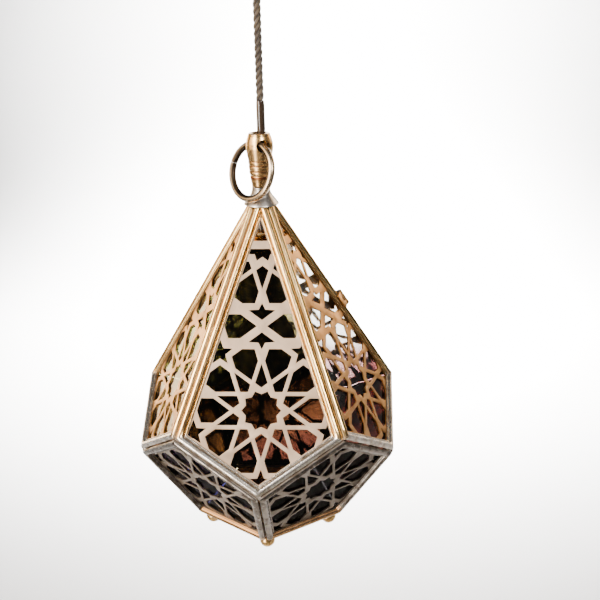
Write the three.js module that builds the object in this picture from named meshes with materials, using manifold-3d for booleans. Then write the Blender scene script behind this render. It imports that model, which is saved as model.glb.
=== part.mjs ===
// Pendant lantern of pierced brass. Five kite-shaped panels rise to a point, five
// five-sided panels close the lower half, and the lantern hangs by a twisted flex from a
// small ceiling canopy. Millimetres, +Z up, the ceiling at z = 0, the front towards -Y.
import * as THREE from 'three';
import { mergeVertices } from 'three/addons/utils/BufferGeometryUtils.js';
import Module from 'manifold-3d';

const wasm = await Module();
wasm.setup();

// Driving dimensions
const seatGap = 0.3; // clearance wherever one piece sits on or in another
const sides = 5;

// Lantern body, heights measured from the plane of the upper belt corners
const beltRadius = 100;
const apexHeight = 160;
const beltDrop = 35.8; // from the upper belt corners to the lower ones
const baseRadius = 57;

// Panels and their rails
const sheetThickness = 1;
const glassThickness = 1.8;
const glassRebate = 1.6; // how far the glass edge stays inside the mitre
const railWidth = 7;
const railHeight = 2.9;
const railLedgeWidth = 1.2;
const railLedgeHeight = 0.9;
const windowMargin = 0.6; // plain sheet that shows inside the rail
const apexTrim = 13.5; // length of the kite tips cut off below the neck
const doorTopGap = 5; // the door stops this much lower than the fixed kites
const glassTopTrim = 43; // length of glass left out below the kite tips
const kitePatternShift = 1.5; // the kites are stamped a little to the right of centre

// Pierced pattern: strap widths, and proportions of the circle that fits the panel
const strapWidth = 2.8;
const lowerStrapWidth = 1.9; // the lower panels repeat the pattern at a smaller size
const crossStrapWidth = 4.2;
const smallestOpening = 2.45; // openings smaller than a square of this side are left as plain sheet
const pattern = {
    strapOffset: 0.232,
    starTip: 0.28,
    starValley: 0.228,
    crownEdge: 0.155,
    ringEdge: 0.259,
    petalHalf: 0.17,
    petalReach: 0.86,
    cornerStarCentre: 1,
    cornerStarTip: 0.186,
    cornerStarValley: 0.08,
    upperCentre: 2.37,
    barBelow: 0.079,
    barAbove: 0.038,
    bowTip: 0.328,
    bowWaist: 0.047,
    bowShoulder: 0.235,
    bowReach: 0.19,
    bowBase: 0.225,
};

// Base and feet
const footRadius = 5.8;
const footInset = 9; // from the base corner towards the axis

// Neck, ferrule and ring
const tubeRadius = 4.4;
const tubeBore = 2.9;
const capHeight = 10.3; // collar of solder from the rails up to the ferrule
const capCollarRadius = 6.5;
const capBrim = { radius: 12.6, drop: 2.6, edge: 0.7 }; // lip over the tops of the rails
const capShoulder = { radius: 10.2, rise: 1.4 };
const capFlare = { radius: 8.4, rise: 3.6 };
const capWaist = { radius: 7.2, rise: 5.8 };
const ferruleHeight = 37.8;
const ferruleRadii = {
    foot: 6.35,
    cone: 6.9,
    skirt: 7.5,
    grooveLow: 7.3,
    bandLow: 8,
    grooveMiddle: 7.7,
    bandMiddle: 8.3,
    grooveHigh: 7.95,
    barrelLow: 8.5,
    barrelHigh: 8.8,
    swell: 9.2,
    shoulderLow: 9.8,
    shoulderHigh: 9.6,
    throat: 8.85,
    rim: 8.1,
    lip: 7.1,
};
const ferruleRises = { // heights above the ferrule's foot
    cone: 3.4,
    skirt: 7.2,
    grooveLow: 8,
    bandLow: 9.2,
    bandLowTop: 10.6,
    grooveMiddle: 11.2,
    bandMiddle: 12.2,
    bandMiddleTop: 14.6,
    grooveHigh: 15.3,
    barrelLow: 16.2,
    barrelHigh: 20.5,
    swell: 23.4,
};
const ferruleDrops = { // depths below the ferrule's top
    shoulderLow: 10.4,
    shoulderHigh: 7,
    throat: 4.1,
    rim: 1.8,
};
const ferruleSocket = 8; // depth that the tube screws into the ferrule
const ferruleCavityRadius = 6.6;
const ferruleMouthRadius = 5.4;
const ferruleMouthLength = 3.4;
const ringRadius = 19.4;
const ringWire = 2.5;
const ringHoleRadius = 4.5;
const ringHoleDrop = 8.4; // below the ferrule's top
const ringHoleOffset = 3.6; // from the ferrule's axis
const ringAzimuth = 49; // degrees, the way the cross hole runs
const ringLean = 15.8; // degrees from hanging straight down

// Flex
const cordRadius = 2.85;
const cordLength = 71; // between the sleeve and the canopy's grip
const cordOffset = 2.1; // the flex leaves the ferrule this far off its axis
const sleeveRadius = 3;
const sleeveLength = 22; // above the ferrule
const sleeveTail = 5.6; // inside the ferrule
const flexRadius = 1.7;

// Ceiling fitting
const canopyRadius = 33;
const canopyHeight = 24;
const canopyWall = 1.2;
const canopyFlat = 14; // radius of its flat bottom
const canopyBelly = { radius: 24, rise: 5 };
const canopyShoulder = { inset: 2, rise: 14 };
const canopySideRise = 20;
const barThickness = 2;
const barWidth = 14;
const barSlotReach = 19;
const barSlotRadius = 2.2;
const stemRadius = 4.8;
const gripHeight = 8;
const gripRadius = 8;
const terminalSize = { width: 16, depth: 9, height: 11 };

// Lampholder and bulb
const washerRadius = 14;
const washerThickness = 1.6;
const nutHeight = 4.5;
const nutRadius = 8;
const tubeReach = 16; // tube below the washer
const holderCapRadius = 17;
const holderCapFlat = 11; // radius of its flat top
const holderCapSlope = 7;
const holderCapHeight = 20;
const holderRadius = 19.5;
const holderSlope = 4;
const holderWireHole = 3;
const holderHeight = 30;
const holderWall = 2.4;
const bulbCapRadius = 12.8;
const bulbCapHeight = 25;
const bulbCapWall = 1.2;
const bulbCapCrown = 5; // height of its sloping top
const bulbContact = 4; // radius of the contact at its tip
const bulbSeat = 12; // depth of the glass neck in the cap
const bulbRadius = 28;
const bulbHeight = 76;
const bulbWall = 1.1;

// Door hinge and latch
const hingeReach = 0.58; // share of the edge between the tip and the hinge
const hingeLength = 12;
const knuckleRadius = 2.1;
const hingeStandOff = 3.3;
const pinRadius = 0.95;
const leafThickness = 0.8;
const leafWidth = 6.2;
const doorKite = 2;
const latchReach = 0.55;
const latchWidth = 5;
const latchLength = 15;
const latchThickness = 1.4;
const latchPivot = 3; // from the edge, on the fixed side
const latchRivetRadius = 1.2;

const fine = 24; // segments of a turned piece

// Shape of the body, worked out from the driving dimensions
const step = 2 * Math.PI / sides;
const halfCos = Math.cos(step / 2);
const halfSin = Math.sin(step / 2);
const flatRadius = beltRadius * halfCos;
const lowerBeltRadius = flatRadius * (1 + beltDrop / apexHeight);
const beltRun = beltRadius - lowerBeltRadius * halfCos;
const baseRun = beltRadius - baseRadius * halfCos;
const baseDepth = beltDrop / beltRun * baseRun;
const kiteTilt = Math.atan2(apexHeight, flatRadius);
const lowerTilt = Math.PI - Math.atan2(baseDepth, baseRun);
const edgeTilt = Math.atan2(apexHeight, beltRadius);
const kiteRise = Math.hypot(apexHeight, flatRadius);
const edgeLength = Math.hypot(apexHeight, beltRadius);

const kiteOutline = [
    [beltRadius * halfSin, 0],
    [0, kiteRise],
    [-beltRadius * halfSin, 0],
    [0, -Math.hypot(lowerBeltRadius - flatRadius, beltDrop)],
];
const lowerOutline = [
    [0, 0],
    [-lowerBeltRadius * halfSin, -Math.hypot(beltRun, beltDrop)],
    [-baseRadius * halfSin, -Math.hypot(baseRun, baseDepth)],
    [baseRadius * halfSin, -Math.hypot(baseRun, baseDepth)],
    [lowerBeltRadius * halfSin, -Math.hypot(beltRun, beltDrop)],
];

// The mitre: how far a panel's edge draws in for each millimetre behind its face
const kiteNormal = new THREE.Vector3(0, -Math.sin(kiteTilt), Math.cos(kiteTilt));
const lowerNormal = new THREE.Vector3(0, -Math.sin(lowerTilt), Math.cos(lowerTilt));
const up = new THREE.Vector3(0, 0, 1);
const nextKite = kiteNormal.clone().applyAxisAngle(up, step);
const nextLower = lowerNormal.clone().applyAxisAngle(up, step);
const besideLower = lowerNormal.clone().applyAxisAngle(up, step / 2);
const bends = [
    kiteNormal.angleTo(nextKite),
    kiteNormal.angleTo(besideLower),
    lowerNormal.angleTo(nextLower),
    lowerNormal.angleTo(up.clone().negate()),
];
const mitre = Math.tan(Math.max(...bends) / 2);
const edgeBend = kiteNormal.angleTo(nextKite) / 2;
const sheetBack = seatGap + sheetThickness;
const glassBack = sheetBack + seatGap + glassThickness;

// Solids and meshes
function solidOf(geometry) {
    const bare = geometry.clone();
    bare.deleteAttribute('normal');
    bare.deleteAttribute('uv');
    const merged = mergeVertices(bare, 1e-4);
    const vertProperties = new Float32Array(merged.attributes.position.array);
    const triVerts = new Uint32Array(merged.index.array);
    return new wasm.Manifold(new wasm.Mesh({ numProp: 3, vertProperties, triVerts }));
}

function geometryOf(solid) {
    const mesh = solid.getMesh();
    const geometry = new THREE.BufferGeometry();
    geometry.setAttribute('position', new THREE.BufferAttribute(new Float32Array(mesh.vertProperties), 3));
    geometry.setIndex(new THREE.BufferAttribute(new Uint32Array(mesh.triVerts), 1));
    geometry.computeVertexNormals();
    return geometry;
}

function prism(points, low, high) {
    const shape = new THREE.Shape(points.map(([x, y]) => new THREE.Vector2(x, y)));
    const geometry = new THREE.ExtrudeGeometry(shape, { depth: high - low, bevelEnabled: false });
    return geometry.translate(0, 0, low);
}

function turned(profile, segments = fine) {
    const points = profile.map(([r, z]) => new THREE.Vector2(r, z));
    if (THREE.ShapeUtils.isClockWise(points)) points.reverse();
    return new THREE.LatheGeometry(points, segments).rotateX(Math.PI / 2);
}

function rod(radius, low, high, segments = fine) {
    return turned([[0, low], [radius, low], [radius, high], [0, high]], segments);
}

function tube(radius, bore, low, high, segments = fine) {
    return turned([[bore, low], [radius, low], [radius, high], [bore, high], [bore, low]], segments);
}

function block(x0, x1, y0, y1, z0, z1) {
    const geometry = new THREE.BoxGeometry(x1 - x0, y1 - y0, z1 - z0);
    return geometry.translate((x0 + x1) / 2, (y0 + y1) / 2, (z0 + z1) / 2);
}

function cutFrom(geometry, ...cutters) {
    let solid = solidOf(geometry);
    for (const cutter of cutters) solid = solid.subtract(solidOf(cutter));
    return geometryOf(solid);
}

function joined(...geometries) {
    let solid = solidOf(geometries[0]);
    for (const geometry of geometries.slice(1)) solid = solid.add(solidOf(geometry));
    return geometryOf(solid);
}

// Moves each side of a convex outline inwards and finds the new corners
function inset(outline, distance) {
    const count = outline.length;
    const lines = outline.map(([x0, y0], i) => {
        const [x1, y1] = outline[(i + 1) % count];
        const length = Math.hypot(x1 - x0, y1 - y0);
        const nx = -(y1 - y0) / length;
        const ny = (x1 - x0) / length;
        return { nx, ny, d: nx * x0 + ny * y0 + distance };
    });
    return lines.map((b, i) => {
        const a = lines[(i + count - 1) % count];
        const det = a.nx * b.ny - a.ny * b.nx;
        return [(a.d * b.ny - b.d * a.ny) / det, (a.nx * b.d - b.nx * a.d) / det];
    });
}

// A moulding that runs round an outline, mitred at its corners
function moulding(outline, profile) {
    const positions = [];
    for (const [s, t] of profile) {
        for (const [x, y] of inset(outline, s)) positions.push(x, y, t);
    }
    const corners = outline.length;
    const index = [];
    for (let k = 0; k < profile.length; k++) {
        const next = (k + 1) % profile.length;
        for (let j = 0; j < corners; j++) {
            const a = k * corners + j;
            const b = k * corners + (j + 1) % corners;
            const c = next * corners + (j + 1) % corners;
            const d = next * corners + j;
            index.push(a, b, c, a, c, d);
        }
    }
    const geometry = new THREE.BufferGeometry();
    geometry.setAttribute('position', new THREE.Float32BufferAttribute(positions, 3));
    geometry.setIndex(index);
    return geometry;
}

// Pierced pattern
const degree = Math.PI / 180;
const polar = (radius, angle) => [radius * Math.cos(angle * degree), radius * Math.sin(angle * degree)];

function turnedPoints(points, angle, [cx, cy]) {
    const c = Math.cos(angle * degree);
    const s = Math.sin(angle * degree);
    return points.map(([x, y]) => [cx + x * c - y * s, cy + x * s + y * c]);
}

function starPoints(tips, tipRadius, valleyRadius) {
    const points = [];
    for (let k = 0; k < tips; k++) {
        points.push(polar(tipRadius, 360 / tips * k));
        points.push(polar(valleyRadius, 360 / tips * (k + 0.5)));
    }
    return points;
}

function smallKite(radius, strap) {
    const tip = (pattern.strapOffset * radius - strap / 2) / Math.sin(18 * degree);
    const edge = pattern.ringEdge * radius;
    const run = (tip * Math.cos(36 * degree) - edge) / Math.cos(18 * degree);
    const side = [tip - run * Math.cos(18 * degree), run * Math.sin(18 * degree)];
    return [[tip, 0], side, [edge / Math.cos(36 * degree), 0], [side[0], -side[1]]];
}

function petal(innerTip, radius) {
    const half = pattern.petalHalf * radius;
    const reach = pattern.petalReach * radius;
    const shoulder = innerTip + half / Math.tan(36 * degree);
    const corner = (reach - half * Math.sin(18 * degree)) / Math.cos(18 * degree);
    return [
        [innerTip, 0], [shoulder, -half], [corner, -half],
        [reach / Math.cos(18 * degree), 0], [corner, half], [shoulder, half],
    ];
}

function cornerStar(radius) {
    const tip = pattern.cornerStarTip * radius;
    const points = starPoints(5, -tip, -pattern.cornerStarValley * radius);
    return points.map(([x, y]) => [x + pattern.cornerStarCentre * radius, y]);
}

// Openings of one ten-fold rosette: star, ring of small kites, ring of petals, corner stars
function rosette(centre, radius, strap, { kites, petals, stars, star = true }) {
    const innerTip = (pattern.strapOffset * radius + strap / 2) / Math.sin(36 * degree);
    const middle = starPoints(10, pattern.starTip * radius, pattern.starValley * radius);
    const openings = star ? [turnedPoints(middle, 0, centre)] : [];
    for (const angle of kites) openings.push(turnedPoints(smallKite(radius, strap), angle, centre));
    for (const angle of petals) openings.push(turnedPoints(petal(innerTip, radius), angle, centre));
    for (const angle of stars) openings.push(turnedPoints(cornerStar(radius), angle, centre));
    return openings;
}

const everyPetal = Array.from({ length: 10 }, (_, k) => 36 * k);
const everyKite = everyPetal.map((angle) => angle + 18);

function pierce(outline, openings) {
    const front = -seatGap;
    const back = -sheetBack;
    const window = solidOf(prism(inset(outline, railWidth + windowMargin), back - 1, front + 1));
    let sheet = solidOf(prism(inset(outline, sheetBack * mitre + seatGap), back, front));
    for (const points of openings) {
        const cutter = solidOf(prism(points, back - 1, front + 1)).intersect(window);
        if (cutter.volume() > smallestOpening ** 2 * (sheetThickness + 2)) sheet = sheet.subtract(cutter);
    }
    return sheet;
}

// Circle that touches the sides of a kite or of a lower panel
function kiteCircle() {
    const half = kiteOutline[0][0];
    const low = -kiteOutline[3][1];
    const upper = half / Math.hypot(half, kiteRise);
    const lower = half / Math.hypot(half, low);
    const y = (kiteRise * upper - low * lower) / (upper + lower);
    return { centre: [kitePatternShift, y], radius: (y + low) * lower };
}

function lowerCircle() {
    const [bx, by] = lowerOutline[4];
    const [cx, cy] = lowerOutline[3];
    const slope = bx / Math.hypot(bx, by);
    const y = cy / (1 + slope);
    const side = Math.hypot(bx - cx, by - cy);
    const flank = ((by - cy) * bx - (bx - cx) * (by - y)) / side;
    return { centre: [0, y], radius: Math.min(-y * slope, flank) };
}

function kiteSheet() {
    const { centre, radius } = kiteCircle();
    const [cx, cy] = centre;
    const upperCentre = [cx, cy + pattern.upperCentre * radius];
    const cross = [cx, (cy + upperCentre[1]) / 2];
    const lowerStars = [-18, -90, -162, 54, 126];
    const openings = rosette(centre, radius, strapWidth, {
        kites: everyKite, petals: everyPetal, stars: lowerStars,
    });
    openings.push(...rosette(upperCentre, radius, strapWidth, {
        kites: [-90, -54, -126], petals: [-72, -108], stars: [], star: false,
    }));
    // Two petals lie back to back beside the crossing straps
    const crossTip = crossStrapWidth / 2 / Math.sin(36 * degree);
    const rosetteTip = (pattern.strapOffset * radius + strapWidth / 2) / Math.sin(36 * degree);
    const besideCross = petal(rosetteTip, radius).map(([x, y]) => [x - rosetteTip + crossTip, y]);
    openings.push(turnedPoints(besideCross, 0, cross), turnedPoints(besideCross, 180, cross));
    // A bow-shaped opening above the crossing and one below it
    const bow = [
        [0, -pattern.bowTip], [pattern.bowWaist, -pattern.bowShoulder], [pattern.bowReach, -pattern.bowBase],
        [0, -pattern.bowBase + pattern.bowReach * Math.tan(36 * degree)],
        [-pattern.bowReach, -pattern.bowBase], [-pattern.bowWaist, -pattern.bowShoulder],
    ].map(([x, y]) => [x * radius, y * radius]);
    openings.push(turnedPoints(bow, 0, cross), turnedPoints(bow, 180, cross));
    // The upper rosette's star is crossed by a bar, with a triangle above it
    const barLow = upperCentre[1] - pattern.barBelow * radius;
    const barHigh = upperCentre[1] + pattern.barAbove * radius;
    const crownTip = pattern.crownEdge * radius / Math.cos(54 * degree);
    const crownValley = pattern.crownEdge * radius / Math.cos(36 * degree);
    const upperStar = turnedPoints(starPoints(10, crownTip, crownValley), 0, upperCentre);
    const crown = upperStar.filter(([, y]) => y < barLow);
    const crownHalf = crownTip * Math.cos(18 * degree);
    crown.sort((a, b) => b[0] - a[0]);
    openings.push([[cx + crownHalf * 0.7, barLow], [cx - crownHalf * 0.7, barLow], ...crown.reverse()]);
    openings.push([[cx - crownHalf, barHigh], [cx + crownHalf, barHigh], [cx, barHigh + 2.4 * crownHalf]]);
    return pierce(kiteOutline, openings);
}

function lowerSheet() {
    const { centre, radius } = lowerCircle();
    return pierce(lowerOutline, rosette(centre, radius, lowerStrapWidth, {
        kites: everyKite, petals: everyPetal, stars: [18, 90, 162, 234, 306],
    }));
}

function railProfile() {
    const outer = seatGap;
    const inner = railWidth - railLedgeWidth;
    const middle = (outer + inner) / 2;
    const half = (inner - outer) / 2;
    const profile = [];
    for (let k = 0; k < 6; k++) {
        const angle = Math.PI * (1 - k / 6);
        profile.push([middle + half * Math.cos(angle), railHeight * Math.sin(angle)]);
    }
    profile.push([inner, railLedgeHeight], [railWidth, railLedgeHeight], [railWidth, 0]);
    return profile;
}

// Everything above a height along the slope is cut off
function trimmed(solid, height) {
    const reach = 2 * kiteRise;
    return solid.subtract(solidOf(block(-reach, reach, height, height + reach, -reach, reach)));
}

const kiteTop = kiteRise - apexTrim;
const doorTop = kiteTop - doorTopGap;
const kiteSheetSolid = kiteSheet();
const kiteRailSolid = solidOf(moulding(kiteOutline, railProfile()));
const glassInset = glassBack * mitre + glassRebate;
const kiteGlassSolid = solidOf(prism(inset(kiteOutline, glassInset), -glassBack, -sheetBack - seatGap));
const lowerSheetGeometry = geometryOf(lowerSheet());
const lowerRailGeometry = moulding(lowerOutline, railProfile());
const lowerGlassGeometry = prism(inset(lowerOutline, glassInset), -glassBack, -sheetBack - seatGap);

// Heights above the upper belt
const capBottom = kiteTop * Math.sin(kiteTilt) + railHeight * Math.cos(kiteTilt) + seatGap;
const railReachAt = (z) => (apexHeight - z) / Math.tan(kiteTilt) + railHeight / Math.sin(kiteTilt);
const capTop = capBottom + capHeight;
const ferruleBottom = capTop + seatGap;
const ferruleTop = ferruleBottom + ferruleHeight;
const sleeveTop = ferruleTop + sleeveLength;
const cordTop = sleeveTop + seatGap + cordLength;
const gripBottom = cordTop + seatGap;
const canopyBottom = gripBottom + gripHeight + seatGap;
const ceiling = canopyBottom + canopyHeight + seatGap;
const ringHoleHeight = ferruleTop - ringHoleDrop;

// The washer bears on the backs of the kite sheets
const sheetBackAtHeight = (z) => (apexHeight - z) / Math.tan(kiteTilt) - sheetBack / Math.sin(kiteTilt);
const washerClear = washerRadius + seatGap / Math.sin(kiteTilt);
const washerTop = apexHeight - (washerClear + sheetBack / Math.sin(kiteTilt)) * Math.tan(kiteTilt);
const tubeBottom = washerTop - washerThickness - tubeReach;
const nutTop = washerTop - washerThickness - seatGap;
const holderTop = nutTop - nutHeight - seatGap;
const holderCapBottom = holderTop - holderCapHeight;
const holderBodyTop = holderCapBottom - seatGap;
const holderBottom = holderBodyTop - holderHeight;
const bulbCapTop = holderBodyTop - holderWall - seatGap;
const bulbCapBottom = bulbCapTop - bulbCapHeight;

// Materials
const metal = (color, roughness, metalness = 1) => {
    return new THREE.MeshStandardMaterial({ color, roughness, metalness });
};
const glass = (color, opacity) => new THREE.MeshStandardMaterial({
    color, roughness: 0.12, metalness: 0, transparent: true, opacity,
});
const finishes = {
    sheet: () => metal(0xc9ac86, 0.5),
    rail: () => metal(0xd8b98a, 0.32),
    brass: () => metal(0xcf9f5c, 0.3),
    solder: () => metal(0x8f8c84, 0.45),
    copper: () => metal(0x7a4a2c, 0.5),
    steel: () => metal(0xb4b4b0, 0.35),
    braid: () => metal(0x6b5530, 0.7, 0.2),
    sleeve: () => metal(0x5b4028, 0.2, 0.6),
    flex: () => metal(0x2a2622, 0.6, 0),
    plastic: () => metal(0xe8e4da, 0.5, 0),
    bulb: () => glass(0xf4efe2, 0.5),
};
const kiteTints = [0x2e2a18, 0xe6e8e2, 0xdfe3df, 0x5d6e3a, 0xb9b878];
const lowerTints = [0x15161a, 0x5a2418, 0x55304a, 0x7d5a20, 0x1b1642];

function named(name, geometry, material) {
    const mesh = new THREE.Mesh(geometry, material);
    mesh.name = name;
    return mesh;
}

// Frames that lie in a panel's plane or along the edge between two kites
function turnedGroup(turns, y, tilt) {
    const outer = new THREE.Group();
    const inner = new THREE.Group();
    outer.rotation.z = turns * step;
    inner.position.y = y;
    inner.rotation.x = tilt;
    outer.add(inner);
    return { outer, inner };
}

function kites() {
    const group = new THREE.Group();
    for (let i = 0; i < sides; i++) {
        const top = i === doorKite ? doorTop : kiteTop;
        const { outer, inner } = turnedGroup(i, -flatRadius, kiteTilt);
        const prefix = i === doorKite ? 'door' : `kite_${i + 1}`;
        const sheet = geometryOf(trimmed(kiteSheetSolid, top - 2 * seatGap));
        const rail = geometryOf(trimmed(kiteRailSolid, top));
        const pane = geometryOf(trimmed(kiteGlassSolid, kiteRise - glassTopTrim));
        inner.add(named(`${prefix}_sheet`, sheet, finishes.sheet()));
        inner.add(named(`${prefix}_rails`, rail, finishes.rail()));
        inner.add(named(`${prefix}_glass`, pane, glass(kiteTints[i % kiteTints.length], 0.6)));
        group.add(outer);
    }
    return group;
}

function lowerPanels() {
    const group = new THREE.Group();
    for (let i = 0; i < sides; i++) {
        const { outer, inner } = turnedGroup(i + 0.5, -beltRadius, lowerTilt);
        inner.add(named(`lower_${i + 1}_sheet`, lowerSheetGeometry.clone(), finishes.sheet()));
        inner.add(named(`lower_${i + 1}_rails`, lowerRailGeometry.clone(), finishes.rail()));
        const tint = lowerTints[i % lowerTints.length];
        inner.add(named(`lower_${i + 1}_glass`, lowerGlassGeometry.clone(), glass(tint, 0.6)));
        group.add(outer);
    }
    return group;
}

function base() {
    const group = new THREE.Group();
    const corners = [];
    for (let i = 0; i < sides; i++) {
        corners.push([baseRadius * Math.sin(i * step), -baseRadius * Math.cos(i * step)]);
    }
    const plate = prism(inset(corners, sheetBack * mitre + seatGap), seatGap, sheetBack);
    plate.translate(0, 0, -baseDepth);
    group.add(named('base_plate', plate, finishes.copper()));
    for (let i = 0; i < sides; i++) {
        const foot = named(`foot_${i + 1}`, new THREE.SphereGeometry(footRadius, 12, 8), finishes.brass());
        const reach = baseRadius - footInset;
        foot.geometry.rotateX(Math.PI / 2);
        foot.position.set(reach * Math.sin(i * step), -reach * Math.cos(i * step), -baseDepth - footRadius);
        group.add(foot);
    }
    return group;
}

// Ring hole direction and the side it is offset to
const ringTurn = ringAzimuth * degree;
const alongHole = new THREE.Vector3(Math.sin(ringTurn), -Math.cos(ringTurn), 0);
const offSide = new THREE.Vector3(-Math.cos(ringTurn), -Math.sin(ringTurn), 0);

function ferruleGeometry() {
    const r = ferruleRadii;
    const low = ferruleRises;
    const down = (name) => ferruleHeight - ferruleDrops[name];
    const grooves = [
        [r.foot, 0], [r.cone, low.cone], [r.skirt, low.skirt], [r.grooveLow, low.grooveLow],
        [r.bandLow, low.bandLow], [r.bandLow, low.bandLowTop], [r.grooveMiddle, low.grooveMiddle],
        [r.bandMiddle, low.bandMiddle], [r.bandMiddle, low.bandMiddleTop], [r.grooveHigh, low.grooveHigh],
        [r.barrelLow, low.barrelLow], [r.barrelHigh, low.barrelHigh], [r.swell, low.swell],
        [r.shoulderLow, down('shoulderLow')], [r.shoulderHigh, down('shoulderHigh')],
        [r.throat, down('throat')], [r.rim, down('rim')], [r.lip, ferruleHeight],
    ];
    const bore = tubeRadius + seatGap;
    const shoulder = ferruleHeight - ferruleMouthLength;
    const profile = [
        ...grooves, [ferruleMouthRadius, ferruleHeight], [ferruleMouthRadius, shoulder],
        [ferruleCavityRadius, shoulder - 1], [ferruleCavityRadius, ferruleSocket + 2],
        [bore, ferruleSocket + seatGap], [bore, 0], [grooves[0][0], 0],
    ];
    const hole = rod(ringHoleRadius, -2 * ferruleHeight, 2 * ferruleHeight, 16);
    hole.rotateX(Math.PI / 2);
    hole.rotateZ(ringTurn);
    hole.translate(...offSide.clone().multiplyScalar(ringHoleOffset).toArray());
    hole.translate(0, 0, ferruleHeight - ringHoleDrop);
    return cutFrom(turned(profile), hole);
}

// The hinge line lies halfway between the ring's highest point and where it leaves the hole
function hangingRing() {
    const exitRadius = (ferruleRadii.shoulderLow + ferruleRadii.shoulderHigh) / 2;
    const exitHalf = Math.sqrt(exitRadius ** 2 - ringHoleOffset ** 2);
    const sag = ringRadius - Math.sqrt(ringRadius ** 2 - exitHalf ** 2);
    const lean = ringLean * degree;
    const down = offSide.clone().multiplyScalar(Math.sin(lean)).add(new THREE.Vector3(0, 0, -Math.cos(lean)));
    const centre = offSide.clone().multiplyScalar(ringHoleOffset);
    centre.z = ringHoleHeight;
    centre.addScaledVector(down, ringRadius - sag / 2);
    const ring = named('hanging_ring', new THREE.TorusGeometry(ringRadius, ringWire, 8, 32), finishes.brass());
    const across = new THREE.Vector3().crossVectors(alongHole, down);
    ring.quaternion.setFromRotationMatrix(new THREE.Matrix4().makeBasis(alongHole, down, across));
    ring.position.copy(centre);
    return ring;
}

function neck() {
    const group = new THREE.Group();
    const bore = tubeRadius + seatGap;
    const inside = (z) => railReachAt(capBottom + z) + 2 * seatGap;
    const cap = turned([
        [bore, 0], [inside(0), 0], [inside(-capBrim.drop), -capBrim.drop], [capBrim.radius, -capBrim.drop],
        [capBrim.radius, capBrim.edge - capBrim.drop], [capShoulder.radius, capShoulder.rise],
        [capFlare.radius, capFlare.rise], [capWaist.radius, capWaist.rise],
        [capCollarRadius, capHeight], [bore, capHeight], [bore, 0],
    ]).translate(0, 0, capBottom);
    group.add(named('neck_cap', cap, finishes.solder()));
    const tubeTop = ferruleBottom + ferruleSocket;
    group.add(named('threaded_tube', tube(tubeRadius, tubeBore, tubeBottom, tubeTop), finishes.solder()));
    const ferrule = ferruleGeometry().translate(0, 0, ferruleBottom);
    group.add(named('ferrule', ferrule, finishes.brass()));
    group.add(hangingRing());
    const washer = tube(washerRadius, bore, washerTop - washerThickness, washerTop);
    group.add(named('inner_washer', washer, finishes.brass()));
    const nutBore = rod(bore, nutTop - 2 * nutHeight, nutTop + 1);
    const nut = cutFrom(rod(nutRadius, nutTop - nutHeight, nutTop, 6), nutBore);
    group.add(named('lock_nut', nut, finishes.brass()));
    return group;
}

function lampholder() {
    const group = new THREE.Group();
    const bore = tubeRadius + seatGap;
    const wall = holderCapRadius - holderWall;
    const cap = turned([
        [bore, holderTop], [holderCapFlat, holderTop], [holderCapRadius, holderTop - holderCapSlope],
        [holderCapRadius, holderCapBottom], [wall, holderCapBottom],
        [wall, holderTop - holderCapSlope - holderWall * 5 / 24],
        [holderCapFlat - holderWall * 5 / 12, holderTop - holderWall],
        [bore, holderTop - holderWall], [bore, holderTop],
    ]);
    group.add(named('lampholder_cap', cap, finishes.brass()));
    const socket = bulbCapRadius + seatGap;
    const body = turned([
        [holderWireHole, holderBodyTop], [holderCapRadius, holderBodyTop],
        [holderRadius, holderBodyTop - holderSlope], [holderRadius, holderBottom], [socket, holderBottom],
        [socket, holderBodyTop - holderWall], [holderWireHole, holderBodyTop - holderWall],
        [holderWireHole, holderBodyTop],
    ]);
    group.add(named('lampholder_body', body, finishes.plastic()));
    return group;
}

function bulb() {
    const group = new THREE.Group();
    const skirt = bulbCapRadius - bulbCapWall;
    const cap = turned([
        [0, bulbCapTop], [bulbContact, bulbCapTop], [bulbCapRadius, bulbCapTop - bulbCapCrown],
        [bulbCapRadius, bulbCapBottom], [skirt, bulbCapBottom],
        [skirt, bulbCapTop - bulbCapCrown - bulbCapWall * 5 / 3], [0, bulbCapTop - bulbCapWall * 10 / 3],
    ]);
    group.add(named('bulb_cap', cap, finishes.steel()));
    const neckRadius = skirt - seatGap;
    const neckTop = bulbCapBottom + bulbSeat;
    const centre = bulbCapBottom - bulbHeight + bulbRadius;
    const shell = (inset2) => {
        const points = [];
        for (let k = 0; k <= 8; k++) {
            const angle = -Math.PI / 2 + k * Math.PI * 0.72 / 8;
            const reach = bulbRadius - inset2;
            points.push([reach * Math.cos(angle), centre + reach * Math.sin(angle)]);
        }
        points[0][0] = 0;
        points.push([neckRadius - inset2, bulbCapBottom - 4], [neckRadius - inset2, neckTop]);
        return points;
    };
    const envelope = turned([...shell(0), ...shell(bulbWall).reverse()]);
    group.add(named('bulb_glass', envelope, finishes.bulb()));
    return group;
}

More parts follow.
